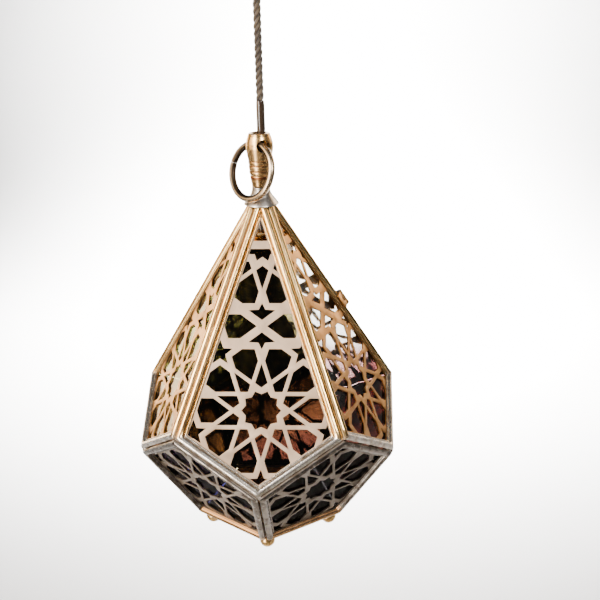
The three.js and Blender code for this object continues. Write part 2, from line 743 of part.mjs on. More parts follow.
// The flex runs down the sleeve, crosses to the axis inside the ferrule and ends in the holder
function cordPieces() {
    const group = new THREE.Group();
    const off = offSide.clone().multiplyScalar(-cordOffset);
    const at = (point, z) => new THREE.Vector3(point.x, point.y, z);
    const axis = new THREE.Vector3();
    const section = (radius, count) => new THREE.Shape(Array.from({ length: count }, (_, k) => {
        const angle = 2 * Math.PI * k / count;
        return new THREE.Vector2(radius * Math.cos(angle), radius * Math.sin(angle));
    }));
    const along = (points, radius, count, steps) => new THREE.ExtrudeGeometry(section(radius, count), {
        steps, bevelEnabled: false, extrudePath: new THREE.CatmullRomCurve3(points),
    });
    const cordPath = [at(off, cordTop), at(off, cordTop - cordLength / 2), at(off, cordTop - cordLength)];
    group.add(named('lamp_cord', along(cordPath, cordRadius, 12, 6), finishes.braid()));
    const sleeve = tube(sleeveRadius, flexRadius + seatGap, ferruleTop - sleeveTail, sleeveTop, 16);
    sleeve.translate(off.x, off.y, 0);
    group.add(named('cord_sleeve', sleeve, finishes.sleeve()));
    const cross = ringHoleHeight - ringHoleRadius;
    const flexPath = [
        at(off, sleeveTop - seatGap), at(off, ferruleTop - sleeveTail - 1), at(off, cross),
        at(axis, ferruleBottom + ferruleSocket + 2), at(axis, ferruleBottom), at(axis, tubeBottom),
        at(axis, tubeBottom - 3),
    ];
    group.add(named('inner_flex', along(flexPath, flexRadius, 8, 40), finishes.flex()));
    return group;
}

function hinge() {
    const { outer, inner } = turnedGroup(doorKite - 0.5, 0, 0);
    const edge = new THREE.Group();
    edge.position.set(0, -beltRadius, 0);
    edge.rotation.x = edgeTilt;
    inner.add(edge);
    const middle = edgeLength * (1 - hingeReach);
    const knuckle = hingeLength / 3;
    const upright = (geometry, y) => geometry.rotateX(-Math.PI / 2).translate(0, y, hingeStandOff);
    const barrel = (low, high) => upright(rod(knuckleRadius, low, high, 16), middle);
    const bore = upright(rod(pinRadius + seatGap, -hingeLength, hingeLength, 12), middle);
    const clear = (low, high) => upright(rod(knuckleRadius + seatGap, low, high, 16), middle);
    const underside = railHeight + seatGap;
    const leaf = (side, start, low, high) => {
        const plate = block(start, leafWidth, low, high, underside, underside + leafThickness);
        if (side < 0) plate.rotateY(Math.PI).translate(0, 0, 2 * underside + leafThickness);
        return plate.rotateY(side * edgeBend).translate(0, middle, 0);
    };
    const half = hingeLength / 2;
    const inside = knuckle / 2 - seatGap / 2;
    const outside = knuckle / 2 + seatGap / 2;
    const start = -hingeStandOff * Math.sin(edgeBend);
    const fixed = cutFrom(joined(
        barrel(-half, -outside), barrel(outside, half), leaf(-1, start, -half, -outside),
        leaf(-1, start, outside, half), leaf(-1, 2, -half, half),
    ), bore, clear(-outside, outside));
    const moving = cutFrom(joined(
        barrel(-inside, inside), leaf(1, start, -inside, inside), leaf(1, 2, -half, half),
    ), bore, clear(outside, half), clear(-half, -outside));
    edge.add(named('hinge_leaf_fixed', fixed, finishes.brass()));
    edge.add(named('hinge_leaf_door', moving, finishes.brass()));
    const pin = turned([
        [0, -half - 0.8], [pinRadius + 0.7, -half - 0.8], [pinRadius + 0.7, -half - seatGap],
        [pinRadius, -half - seatGap], [pinRadius, half + seatGap], [pinRadius + 0.7, half + seatGap],
        [pinRadius + 0.7, half + 0.8], [0, half + 0.8],
    ], 12);
    edge.add(named('hinge_pin', upright(pin, middle), finishes.steel()));
    return outer;
}

// A turn button on the fixed side of the door's free edge, hanging clear of the door
function latch() {
    const { outer, inner } = turnedGroup(doorKite + 0.5, 0, 0);
    const edge = new THREE.Group();
    edge.position.set(0, -beltRadius, 0);
    edge.rotation.x = edgeTilt;
    inner.add(edge);
    const middle = edgeLength * (1 - latchReach);
    const inside = railWidth - railLedgeWidth;
    const crest = -Math.sin(edgeBend) * (inside + seatGap) / 2
        + Math.hypot(Math.sin(edgeBend) * (inside - seatGap) / 2, Math.cos(edgeBend) * railHeight);
    const low = crest + seatGap;
    const high = low + latchThickness;
    const half = latchWidth / 2;
    const hole = rod(latchRivetRadius + seatGap, low - 1, high + 1, 12);
    const tongue = block(-half, half, -latchLength + half, 0, low, high);
    const button = cutFrom(joined(rod(half, low, high, 16), tongue), hole);
    button.translate(latchPivot, middle, 0);
    edge.add(named('latch_button', button, finishes.brass()));
    const rivet = turned([
        [0, low], [latchRivetRadius, low], [latchRivetRadius, high + seatGap],
        [latchRivetRadius + 1, high + seatGap], [latchRivetRadius + 0.6, high + 1.2], [0, high + 1.4],
    ], 12).translate(latchPivot, middle, 0);
    edge.add(named('latch_rivet', rivet, finishes.steel()));
    return outer;
}

// Ceiling fitting, heights measured down from the ceiling
function ceilingFitting() {
    const group = new THREE.Group();
    const barHalf = canopyRadius - canopyWall - seatGap;
    const plate = block(-barHalf + 1, barHalf - 1, -barWidth / 2, barWidth / 2, -barThickness, 0);
    const slots = [-1, 1].map((side) => {
        return rod(barSlotRadius, -barThickness - 1, 1, 16).translate(side * barSlotReach, 0, 0);
    });
    group.add(named('ceiling_bar', cutFrom(plate, ...slots), finishes.steel()));
    const low = -canopyHeight - seatGap;
    const stemHole = stemRadius + seatGap;
    const canopy = turned([
        [stemHole, low], [canopyFlat, low], [canopyBelly.radius, low + canopyBelly.rise],
        [canopyRadius - canopyShoulder.inset, low + canopyShoulder.rise], [canopyRadius, low + canopySideRise],
        [canopyRadius, -seatGap], [canopyRadius - canopyWall, -seatGap],
        [canopyRadius - canopyWall, low + canopySideRise + canopyWall / 3],
        [canopyRadius - canopyShoulder.inset - canopyWall, low + canopyShoulder.rise + canopyWall * 2 / 3],
        [canopyBelly.radius - canopyWall * 2 / 3, low + canopyBelly.rise + canopyWall * 11 / 12],
        [canopyFlat - canopyWall / 3, low + canopyWall], [stemHole, low + canopyWall], [stemHole, low],
    ], 28);
    group.add(named('canopy', canopy, finishes.brass()));
    const stemLow = low - gripHeight + 3;
    group.add(named('canopy_stem', rod(stemRadius, stemLow, -barThickness - seatGap, 16), finishes.steel()));
    const gripTop = low - seatGap;
    const grip = turned([
        [0, gripTop - gripHeight], [cordRadius + 1.4, gripTop - gripHeight], [gripRadius - 1, gripTop - 5],
        [gripRadius, gripTop - 3], [gripRadius, gripTop], [stemHole, gripTop],
        [stemHole, stemLow - seatGap], [0, stemLow - seatGap],
    ]);
    group.add(named('cord_grip', grip, finishes.brass()));
    const { width, depth, height } = terminalSize;
    const side = stemRadius + seatGap;
    const top = -barThickness - seatGap;
    const terminal = block(-width / 2, width / 2, side, side + depth, top - height, top);
    group.add(named('terminal_block', terminal, finishes.plastic()));
    return group;
}

const lantern = new THREE.Group();
lantern.position.copy(offSide).multiplyScalar(cordOffset);
lantern.position.z = -ceiling;
lantern.add(kites(), lowerPanels(), base(), neck(), lampholder(), bulb(), cordPieces(), hinge(), latch());

const lamp = new THREE.Group();
lamp.add(lantern, ceilingFitting());

export default lamp;
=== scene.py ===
import math

import bmesh
import bpy
from mathutils import Matrix, Vector, noise


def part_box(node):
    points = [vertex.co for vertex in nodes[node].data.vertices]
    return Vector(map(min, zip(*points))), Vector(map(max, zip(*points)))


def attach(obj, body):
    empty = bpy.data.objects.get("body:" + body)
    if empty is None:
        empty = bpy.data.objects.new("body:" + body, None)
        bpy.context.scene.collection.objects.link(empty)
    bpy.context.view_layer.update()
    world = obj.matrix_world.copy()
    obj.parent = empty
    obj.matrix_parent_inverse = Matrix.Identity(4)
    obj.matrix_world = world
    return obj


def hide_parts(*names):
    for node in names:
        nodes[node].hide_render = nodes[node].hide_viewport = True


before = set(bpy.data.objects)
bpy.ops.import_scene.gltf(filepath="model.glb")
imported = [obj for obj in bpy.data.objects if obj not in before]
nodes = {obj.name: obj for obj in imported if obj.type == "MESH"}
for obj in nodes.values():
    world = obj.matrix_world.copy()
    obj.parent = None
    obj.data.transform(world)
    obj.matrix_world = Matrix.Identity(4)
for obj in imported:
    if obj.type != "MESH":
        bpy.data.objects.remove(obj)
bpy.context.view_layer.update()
print("frame loaded,", len(nodes), "nodes")

# Sizes shared by several pieces, in metres, as the solids have them
body = {
    "axis": (-0.0013777, -0.0015849),
    "belt": -0.3241611,
    "beltRadius": 0.1,
    "apexHeight": 0.16,
    "beltDrop": 0.0358,
    "baseRadius": 0.057,
    "apexTrim": 0.0135,
    "doorTopGap": 0.005,
}
turn = 2 * math.pi / 5
lantern = Matrix.Translation((*body["axis"], body["belt"]))


# small helpers for node trees
class Wire:
    # a socket that takes part in plain arithmetic
    def __init__(self, owner, socket):
        self.owner = owner
        self.socket = socket


def arithmetic(operation, swapped):
    def method(self, other):
        pair = (other, self) if swapped else (self, other)
        return self.owner.node("ShaderNodeMath", {"operation": operation}, dict(enumerate(pair)))
    return method


for sign, operation in (("add", "ADD"), ("sub", "SUBTRACT"), ("mul", "MULTIPLY"), ("truediv", "DIVIDE")):
    setattr(Wire, f"__{sign}__", arithmetic(operation, False))
    setattr(Wire, f"__r{sign}__", arithmetic(operation, True))


class Recipe:
    # one method adds any node: its kind, its settings, its values or links
    def __init__(self, tree):
        self.tree = tree

    def node(self, kind, settings=None, inputs=None, output=0):
        made = self.tree.nodes.new(kind)
        for name, value in (settings or {}).items():
            setattr(made, name, value)
        for name, value in (inputs or {}).items():
            several = value if isinstance(value, list) else [value]
            for one in several:
                if isinstance(one, Wire):
                    self.tree.links.new(one.socket, made.inputs[name])
                else:
                    made.inputs[name].default_value = one
        return Wire(self, made.outputs[output]) if made.outputs else made

    def blend(self, factor, a, b):
        a, b = ((*x, 1) if isinstance(x, tuple) else x for x in (a, b))
        return self.node("ShaderNodeMix", {"data_type": "RGBA"}, {0: factor, 6: a, 7: b}, 2)


class Finish(Recipe):
    # a material, with patterns that run on Object coordinates
    def __init__(self, name):
        self.material = bpy.data.materials.new(name)
        self.material.use_nodes = True
        super().__init__(self.material.node_tree)
        self.tree.nodes.clear()
        self.place = self.node("ShaderNodeTexCoord", output=3)

    def cloud(self, scale, detail=3.0, roughness=0.55, stretch=(1, 1, 1)):
        at = self.node("ShaderNodeMapping", None, {0: self.place, 3: stretch})
        inputs = {"Vector": at, "Scale": scale, "Detail": detail, "Roughness": roughness}
        return self.node("ShaderNodeTexNoise", None, inputs)

    def band(self, value, low, high):
        settings = {"interpolation_type": "SMOOTHSTEP"}
        return self.node("ShaderNodeMapRange", settings, {0: value, 1: low, 2: high, 3: 0.0, 4: 1.0})

    def mark(self, name):
        return self.node("ShaderNodeAttribute", {"attribute_name": name}, output=2)

    def bump(self, height, strength, distance):
        inputs = {"Height": height, "Strength": strength, "Distance": distance}
        return self.node("ShaderNodeBump", None, inputs)

    def shaded(self, **sockets):
        names = {
            "colour": "Base Color", "metal": "Metallic", "rough": "Roughness", "normal": "Normal",
            "through": "Transmission Weight", "ior": "IOR", "coat": "Coat Weight",
            "coatRough": "Coat Roughness", "gleam": "Specular IOR Level", "sheen": "Sheen Weight",
        }
        inputs = {}
        for key, value in sockets.items():
            inputs[names[key]] = (*value, 1) if isinstance(value, tuple) else value
        surface = self.node("ShaderNodeBsdfPrincipled", None, inputs)
        self.node("ShaderNodeOutputMaterial", None, {"Surface": surface})
        return self.material


# small helpers for meshes
def linked(name, mesh):
    made = bpy.data.objects.new(name, mesh)
    bpy.context.scene.collection.objects.link(made)
    return made


def smoothed(mesh, degrees):
    for face in mesh.polygons:
        face.use_smooth = True
    mesh.set_sharp_from_angle(angle=math.radians(degrees))


def piece(name, mesh, material, stands=(), degrees=35, rides="frame"):
    # a finished piece: dressed, riding on its body, in place of the nodes it stands for
    smoothed(mesh, degrees)
    if material is not None:
        mesh.materials.clear()
        mesh.materials.append(material)
    made = linked(name, mesh)
    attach(made, rides)
    if stands:
        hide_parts(*stands)


def turnedPiece(name, profile, segments, place, material, node, degrees=35, rides="frame"):
    mesh = turnedMesh(name, profile, segments, place)
    piece(name, mesh, material, [node], degrees, rides)


def bodyOf(panel):
    return "door" if panel == "door" else "frame"


def meshOf(name, points, faces, where=None):
    mesh = bpy.data.meshes.new(name)
    mesh.from_pydata([tuple(p) for p in points], [], faces)
    if where is not None:
        mesh.transform(where)
    work = bmesh.new()
    work.from_mesh(mesh)
    bmesh.ops.remove_doubles(work, verts=work.verts, dist=1e-7)
    bmesh.ops.recalc_face_normals(work, faces=work.faces)
    work.to_mesh(mesh)
    work.free()
    return mesh


def eased(profile, radius, steps=3):
    # rounds the corners of a closed profile, short edges less than long ones
    out = []
    count = len(profile)
    for i, (x, y) in enumerate(profile):
        ax, ay = profile[i - 1]
        bx, by = profile[(i + 1) % count]
        la, lb = math.hypot(ax - x, ay - y), math.hypot(bx - x, by - y)
        if x < 1e-9 or min(la, lb) < 1e-6:
            out.append((x, y))
            continue
        ra, rb = min(radius, la * 0.4) / la, min(radius, lb * 0.4) / lb
        start, end = (x + (ax - x) * ra, y + (ay - y) * ra), (x + (bx - x) * rb, y + (by - y) * rb)
        for k in range(steps + 1):
            t = k / steps
            out.append(tuple(
                (1 - t) ** 2 * s + 2 * t * (1 - t) * c + t * t * e
                for s, c, e in zip(start, (x, y), end)
            ))
    return out


def turnedMesh(name, profile, segments, where=None):
    # revolves a closed profile of radius and height pairs, in millimetres
    points, rows = [], []
    for r, z in profile:
        if r < 1e-6:
            rows.append([len(points)] * segments)
            points.append((0, 0, z / 1000))
            continue
        rows.append(list(range(len(points), len(points) + segments)))
        for k in range(segments):
            angle = 2 * math.pi * k / segments
            points.append((r / 1000 * math.cos(angle), r / 1000 * math.sin(angle), z / 1000))
    faces = []
    for i in range(len(rows)):
        a, b = rows[i], rows[(i + 1) % len(rows)]
        for k in range(segments):
            n = (k + 1) % segments
            corners = list(dict.fromkeys((a[k], a[n], b[n], b[k])))
            if len(corners) > 2:
                faces.append(corners)
    return meshOf(name, points, faces, where)


def storeStainAndShade(mesh, rule):
    # how much stain, and inside the ring painted shade, each point takes, from its place
    layer = mesh.attributes.new("stain", "FLOAT", "POINT")
    layer.data.foreach_set("value", [rule(vertex.co) for vertex in mesh.vertices])


def applied(made, name):
    # the mesh that an object's modifiers leave, and the object is gone
    view = bpy.context.evaluated_depsgraph_get()
    mesh = bpy.data.meshes.new_from_object(made.evaluated_get(view))
    mesh.name = name
    bpy.data.objects.remove(made)
    return mesh


def eroded(node, name, width, degrees=30, edgeMaterial=False):
    # a copy of a solid with its doubles merged and its sharp edges broken
    mesh = nodes[node].data.copy()
    work = bmesh.new()
    work.from_mesh(mesh)
    bmesh.ops.remove_doubles(work, verts=work.verts, dist=2e-6)
    work.to_mesh(mesh)
    work.free()
    for layer in list(mesh.attributes):
        if layer.name in ("custom_normal", "sharp_face", "sharp_edge"):
            mesh.attributes.remove(layer)
    made = linked(name, mesh)
    edge = made.modifiers.new("edge", "BEVEL")
    edge.width = width
    edge.segments = 2
    edge.limit_method = "ANGLE"
    edge.angle_limit = math.radians(degrees)
    edge.use_clamp_overlap = True
    if edgeMaterial:
        edge.material = 1
    return applied(made, name)


class Growth(Recipe):
    # a Geometry Nodes tree whose named inputs are floats and whole numbers
    def __init__(self, name, **sizes):
        tree = bpy.data.node_groups.new(name, "GeometryNodeTree")
        super().__init__(tree)
        tree.interface.new_socket(name="Geometry", in_out="OUTPUT", socket_type="NodeSocketGeometry")
        self.name = name
        self.sizes = {}
        for key, value in sizes.items():
            kind = "NodeSocketInt" if isinstance(value, int) else "NodeSocketFloat"
            socket = tree.interface.new_socket(name=key, in_out="INPUT", socket_type=kind)
            self.sizes[socket.identifier] = value
        self.entry = tree.nodes.new("NodeGroupInput")

    def __getitem__(self, name):
        return Wire(self, self.entry.outputs[name])

    def spot(self, x, y, z):
        return self.node("ShaderNodeCombineXYZ", None, {0: x, 1: y, 2: z})

    def circle(self, count, radius):
        return self.node("GeometryNodeMeshCircle", None, {"Vertices": count, "Radius": radius})

    def copies(self, points, instance, **more):
        inputs = {"Points": points, "Instance": instance, **more}
        return self.node("GeometryNodeInstanceOnPoints", None, inputs)

    def moved(self, geometry, **more):
        return self.node("GeometryNodeTransform", None, {"Geometry": geometry, **more})

    def pushed(self, geometry, offset):
        return self.node("GeometryNodeSetPosition", None, {"Geometry": geometry, "Offset": offset})

    def stored(self, geometry, name, value, domain):
        settings = {"data_type": "FLOAT", "domain": domain}
        inputs = {"Geometry": geometry, "Name": name, "Value": value}
        return self.node("GeometryNodeStoreNamedAttribute", settings, inputs)

    def joined(self, *parts):
        return self.node("GeometryNodeJoinGeometry", None, {0: list(parts)})

    def ring(self, sides, radius):
        return self.node("GeometryNodeCurvePrimitiveCircle", None, {"Resolution": sides, "Radius": radius})

    def tube(self, curve, sides, radius):
        inputs = {"Curve": curve, "Profile Curve": self.ring(sides, radius), "Fill Caps": True}
        return self.node("GeometryNodeCurveToMesh", None, inputs)

    def real(self, geometry):
        return self.node("GeometryNodeRealizeInstances", None, {0: geometry})

    def grown(self, geometry, material):
        # ends the tree, runs it once and keeps the plain mesh
        inputs = {"Geometry": self.real(geometry), "Material": material}
        self.node("NodeGroupOutput", None, {0: self.node("GeometryNodeSetMaterial", None, inputs)})
        holder = linked(self.name + "Seed", bpy.data.meshes.new(self.name + "Seed"))
        modifier = holder.modifiers.new("grow", "NODES")
        modifier.node_group = self.tree
        for identifier, value in self.sizes.items():
            modifier[identifier] = value
        return applied(holder, self.name)


# camera, at the photograph's angle
cameraView = {
    "place": (0.06189, -0.651665, -0.01547),
    "yaw": 0.05713,
    "pitch": 0.34695,
    "roll": -0.022407,
    "focal": 930.75,  # in pixels of the picture's width
    "width": 600,
    "sensor": 36,
}


def makeCamera():
    yaw, pitch, roll = cameraView["yaw"], cameraView["pitch"], cameraView["roll"]
    forward = Vector((-math.sin(yaw) * math.cos(pitch), math.cos(yaw) * math.cos(pitch), -math.sin(pitch)))
    right = forward.cross(Vector((0, 0, 1))).normalized()
    above = right.cross(forward)
    rolledRight = right * math.cos(roll) + above * math.sin(roll)
    rolledUp = above * math.cos(roll) - right * math.sin(roll)
    data = bpy.data.cameras.new("view")
    data.sensor_width = cameraView["sensor"]
    data.lens = cameraView["focal"] / cameraView["width"] * data.sensor_width
    camera = linked("view", data)
    turned = Matrix((rolledRight, rolledUp, -forward)).transposed().to_4x4()
    camera.matrix_world = Matrix.Translation(cameraView["place"]) @ turned
    bpy.context.scene.camera = camera


makeCamera()
print("camera placed")


# twisted flex
cordLook = {
    "top": -0.0329,
    "bottom": -0.1039,
    "radius": 0.00285,
    "pitch": 0.0144,
    "strands": 3,
    "steps": 300,
    "sides": 18,
    "thread": 5200.0,
    "shift": 0.0011,
}


def cordFinish():
    finish = Finish("twistedBraid")
    along = finish.mark("along")
    fibre = finish.cloud(5200, 2, 0.6)
    worn = finish.band(finish.cloud(160, 3), 0.4, 0.7)
    thread = finish.node("ShaderNodeMath", {"operation": "SINE"}, {0: along * cordLook["thread"]})
    colour = finish.blend(worn, (0.026, 0.015, 0.006), (0.072, 0.047, 0.023))
    colour = finish.blend(finish.band(fibre, 0.5, 0.72) * 0.5, colour, (0.15, 0.11, 0.07))
    height = thread * 0.35 + fibre
    return finish.shaded(
        colour=colour, rough=0.5 + fibre * 0.25, metal=0.0, gleam=0.5,
        normal=finish.bump(height, 0.55, 0.0002), sheen=0.25,
    )


def cordMesh(length):
    # strands wind round a straight line, each a round tube
    grow = Growth("twistedCord", length=length, radius=cordLook["radius"], pitch=cordLook["pitch"],
                  top=cordLook["top"], strands=cordLook["strands"])
    radius = grow["radius"]
    share = 1 / (1 + 2 / math.sqrt(3))  # so that three strands just touch
    strand, lay = radius * share, radius * (1 - share)
    line = grow.node("GeometryNodeCurvePrimitiveLine", {"mode": "POINTS"}, {
        "Start": grow.spot(0.0, 0.0, grow["top"] - grow["length"]),
        "End": grow.spot(0.0, 0.0, grow["top"]),
    })
    fine = grow.node("GeometryNodeResampleCurve", {"mode": "COUNT"}, {
        "Curve": line, "Count": cordLook["steps"],
    })
    starts = grow.node("GeometryNodeMeshLine", {"mode": "OFFSET"}, {
        "Count": grow["strands"], "Start Location": (0, 0, 0), "Offset": (0, 0, 0),
    })
    # each copy keeps its own number, which sets where round the cord it starts
    index = grow.node("GeometryNodeInputIndex")
    numbered = grow.stored(grow.copies(starts, fine), "phase", index, "INSTANCE")
    phase = grow.node("GeometryNodeInputNamedAttribute", {"data_type": "FLOAT"}, {"Name": "phase"})
    height = grow.node("ShaderNodeSeparateXYZ", None, {0: grow.node("GeometryNodeInputPosition")}, 2)
    angle = height / grow["pitch"] * (2 * math.pi) + phase * 2 * math.pi / grow["strands"]
    wave = [grow.node("ShaderNodeMath", {"operation": kind}, {0: angle}) for kind in ("COSINE", "SINE")]
    wound = grow.pushed(grow.real(numbered), grow.spot(wave[0] * lay, wave[1] * lay, 0.0))
    marked = grow.stored(wound, "along", height + phase * cordLook["shift"], "POINT")
    return grow.grown(grow.tube(marked, cordLook["sides"], strand), cordFinish())


def makeCord():
    length = cordLook["top"] - cordLook["bottom"]
    mesh = cordMesh(length)
    smoothed(mesh, 60)
    cord = linked("twistedCord", mesh)
    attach(cord, "frame")
    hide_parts("lamp_cord")
    path = [(0, 0, cordLook["bottom"] + length * k / 24) for k in range(25)]
    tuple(path[0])


makeCord()
print("flex wound")


# metals
def agedBrass(name, bright, deep, tarnish, rough, grain, tarnished=0.45, stain=None):
    # worn metal: cloudy tone, dull patches, fine scratches, and a colour where a mesh marks it: a real
    # stain on the ferrule, painted shade inside the ring
    finish = Finish(name)
    tone = finish.cloud(26, 4)
    patch = finish.cloud(95, 4, 0.62)
    speck = finish.cloud(900, 2, 0.6)
    lines = finish.cloud(420, 3, 0.7, (1, 1, 0.06))
    colour = finish.blend(finish.band(tone, 0.36, 0.66), bright, deep)
    dull = finish.band(patch, 0.56, 0.78) * tarnished
    colour = finish.blend(dull, colour, tarnish)
    colour = finish.blend(finish.band(speck, 0.62, 0.8) * 0.25, colour, tarnish)
    roughness = rough + dull * 0.35 + (patch - 0.5) * 0.22 + (speck - 0.5) * 0.12
    if stain is not None:
        asked = finish.mark("stain")
        amount = finish.band(asked + (patch - 0.5) * 0.5, 0.15, 0.85)
        colour = finish.blend(amount, colour, stain)
        roughness = roughness + amount * 0.12
    height = speck * 0.5 + lines * 0.5 + patch
    return finish.shaded(
        colour=colour, metal=1.0, rough=roughness, normal=finish.bump(height, 0.22 * grain, 0.0003),
    )


def railMetal(name, gold, goldDeep, tin, tinDeep, rough=0.24):
    # brass along the upper rails, solder grey along the belts, and painted shade that darkens the grooves
    finish = Finish(name)
    tinned = finish.mark("tinned")
    groove = finish.mark("groove")
    tone = finish.cloud(34, 4)
    smear = finish.cloud(120, 4, 0.6)
    speck = finish.cloud(1100, 2)
    brassTone = finish.blend(finish.band(tone, 0.35, 0.68), gold, goldDeep)
    tinTone = finish.blend(finish.band(smear, 0.38, 0.66), tin, tinDeep)
    cover = finish.band(tinned + (smear - 0.5) * 0.7, 0.3, 0.7)
    colour = finish.blend(cover, brassTone, tinTone)
    # painted shade: near black where the section lies low, beside the sheet and between the rails
    shade = finish.band(groove + (smear - 0.5) * 0.25, 0.35, 0.95)
    colour = finish.blend(shade * 0.86, colour, (0.09, 0.06, 0.035))
    roughness = rough + shade * 0.35 + (smear - 0.5) * 0.2 + cover * 0.03
    return finish.shaded(
        colour=colour, metal=1.0, rough=roughness,
        normal=finish.bump(smear + speck * 0.3, 0.25, 0.0004),
    )


# bright, deep and tarnished tone, roughness, grain, how far tarnished, and the colour of the stain and
# painted shade that a mesh marks
brassLook = {
    # painted light: the front and side sheets are one brass, toned for the cool light on the front and the
    # warm light on the sides
    "frontSheet": ((0.59, 0.43, 0.3), (0.48, 0.34, 0.23), (0.3, 0.2, 0.12), 0.46, 1.3),
    "sideSheet": ((0.62, 0.36, 0.15), (0.48, 0.26, 0.1), (0.26, 0.13, 0.05), 0.4, 1.2),
    "lowerSheet": ((0.4, 0.33, 0.26), (0.28, 0.22, 0.17), (0.14, 0.1, 0.07), 0.34, 1.2),
    # painted shade: a darker copy of the lower sheet's brass, for lower_1 in shade
    "duskSheet": ((0.17, 0.14, 0.11), (0.1, 0.08, 0.06), (0.05, 0.035, 0.025), 0.32, 1.2),
    # painted highlight: a brighter brass on the sheets' broken cut edges, for the light they catch
    "brightEdge": ((0.86, 0.72, 0.5), (0.76, 0.58, 0.36), (0.42, 0.28, 0.15), 0.24, 0.5),
    "turnedBrass": ((0.86, 0.55, 0.22), (0.66, 0.38, 0.14), (0.3, 0.14, 0.06), 0.27, 0.5, 0.3),
    "ferruleBrass": ((0.8, 0.5, 0.21), (0.6, 0.36, 0.15), (0.3, 0.14, 0.06), 0.28, 0.6, 0.35,
                     (0.24, 0.09, 0.035)),
    # its last colour is near black: painted shade inside the ring
    "ringBrass": ((0.62, 0.46, 0.3), (0.42, 0.31, 0.2), (0.16, 0.1, 0.06), 0.27, 0.6, 0.4,
                  (0.03, 0.021, 0.014)),
    "solder": ((0.54, 0.5, 0.46), (0.3, 0.27, 0.24), (0.13, 0.09, 0.06), 0.34, 1.4, 0.5),
    "floorCopper": ((0.36, 0.13, 0.05), (0.25, 0.08, 0.03), (0.12, 0.04, 0.02), 0.4, 1.0),
    "scrollCopper": ((0.95, 0.62, 0.36), (0.85, 0.48, 0.26), (0.5, 0.24, 0.11), 0.42, 0.5, 0.2),
    "platedSteel": ((0.62, 0.61, 0.6), (0.5, 0.49, 0.48), (0.32, 0.3, 0.28), 0.26, 0.4, 0.2),
}
# brass and deeper brass, tin and deeper tin
railTones = {
    # painted light and shade: the tin is one solder, bright on the upper rails and dark on the lower rails,
    # for how the light falls on each
    "upperRail": ((0.8, 0.52, 0.22), (0.58, 0.34, 0.13), (0.92, 0.86, 0.78), (0.46, 0.39, 0.32)),
    "lowerRail": ((0.74, 0.44, 0.22), (0.58, 0.33, 0.16), (0.27, 0.24, 0.21), (0.1, 0.08, 0.065)),
}
metals = {name: agedBrass(name, *look) for name, look in brassLook.items()}
metals |= {name: railMetal(name, *tones) for name, tones in railTones.items()}
print("metals mixed")


# panels: where they stand and how they are outlined
def bodyShape():
    radius, drop, apex, base = (body[key] for key in ("beltRadius", "beltDrop", "apexHeight", "baseRadius"))
    cosine, sine = math.cos(turn / 2), math.sin(turn / 2)
    flat = radius * cosine
    lowerBelt = flat * (1 + drop / apex)
    beltRun = radius - lowerBelt * cosine
    baseRun = radius - base * cosine
    depth = drop / beltRun * baseRun
    belt, foot = -math.hypot(beltRun, drop), -math.hypot(baseRun, depth)
    kite = [
        (radius * sine, 0.0), (0.0, math.hypot(apex, flat)), (-radius * sine, 0.0),
        (0.0, -math.hypot(lowerBelt - flat, drop)),
    ]
    lower = [
        (0.0, 0.0), (-lowerBelt * sine, belt), (-base * sine, foot), (base * sine, foot),
        (lowerBelt * sine, belt),
    ]
    return {
        "flat": flat, "lowerBelt": lowerBelt, "depth": depth, "kite": kite, "lower": lower,
        "kiteTilt": math.atan2(apex, flat), "lowerTilt": math.pi - math.atan2(depth, baseRun),
    }


shape = bodyShape()


def kitePlace(i):
    spin = Matrix.Rotation(i * turn, 4, "Z") @ Matrix.Translation((0, -shape["flat"], 0))
    return lantern @ spin @ Matrix.Rotation(shape["kiteTilt"], 4, "X")


def lowerPlace(i):
    spin = Matrix.Rotation((i + 0.5) * turn, 4, "Z") @ Matrix.Translation((0, -body["beltRadius"], 0))
    return lantern @ spin @ Matrix.Rotation(shape["lowerTilt"], 4, "X")


def inset(outline, distance):
    lines = []
    for i, (x, y) in enumerate(outline):
        u, v = outline[(i + 1) % len(outline)]
        length = math.hypot(u - x, v - y)
        nx, ny = -(v - y) / length, (u - x) / length
        lines.append((nx, ny, nx * x + ny * y + distance))
    out = []
    for i, b in enumerate(lines):
        a = lines[i - 1]
        det = a[0] * b[1] - a[1] * b[0]
        out.append(((a[2] * b[1] - b[2] * a[1]) / det, (a[0] * b[2] - b[0] * a[2]) / det))
    return out


# rails: a half-round bar and a thin bead beside it
railLook = {
    "outer": 0.0003,
    "inner": 0.0058,
    "height": 0.0029,
    "beadEnd": 0.007,
    "beadHeight": 0.0009,
    "beadFoot": 0.0003,
    "gap": 0.00005,
    "gapHeight": 0.00025,
    "barSteps": 16,
    "beadSteps": 6,
    "perSide": 28,
    "wobble": 0.00009,
    "sway": 60,
    "stillBelow": 0.0004,
}


def railSection():
    # each point: distance in from the panel's edge, height, and how much painted shade it takes, most deep
    # in a groove
    outer, inner, end, foot = (railLook[key] for key in ("outer", "inner", "beadEnd", "beadFoot"))
    points = [(outer, 0.0, 1.0)]
    for k in range(1, railLook["barSteps"]):
        angle = math.pi * (1 - k / railLook["barSteps"])
        level = math.sin(angle)
        s = (outer + inner) / 2 + (inner - outer) / 2 * math.cos(angle)
        points.append((s, railLook["height"] * level, 1 - min(1, level * 1.5)))
    points.append((inner + railLook["gap"], railLook["gapHeight"], 1.0))
    middle = (inner + end) / 2 + railLook["gap"]
    for k in range(1, railLook["beadSteps"]):
        angle = math.pi * (1 - k / railLook["beadSteps"])
        s = middle + (end - middle) * math.cos(angle)
        points.append((s, foot + (railLook["beadHeight"] - foot) * math.sin(angle), 0.0))
    points.append((end, 0.0, 0.8))
    return points


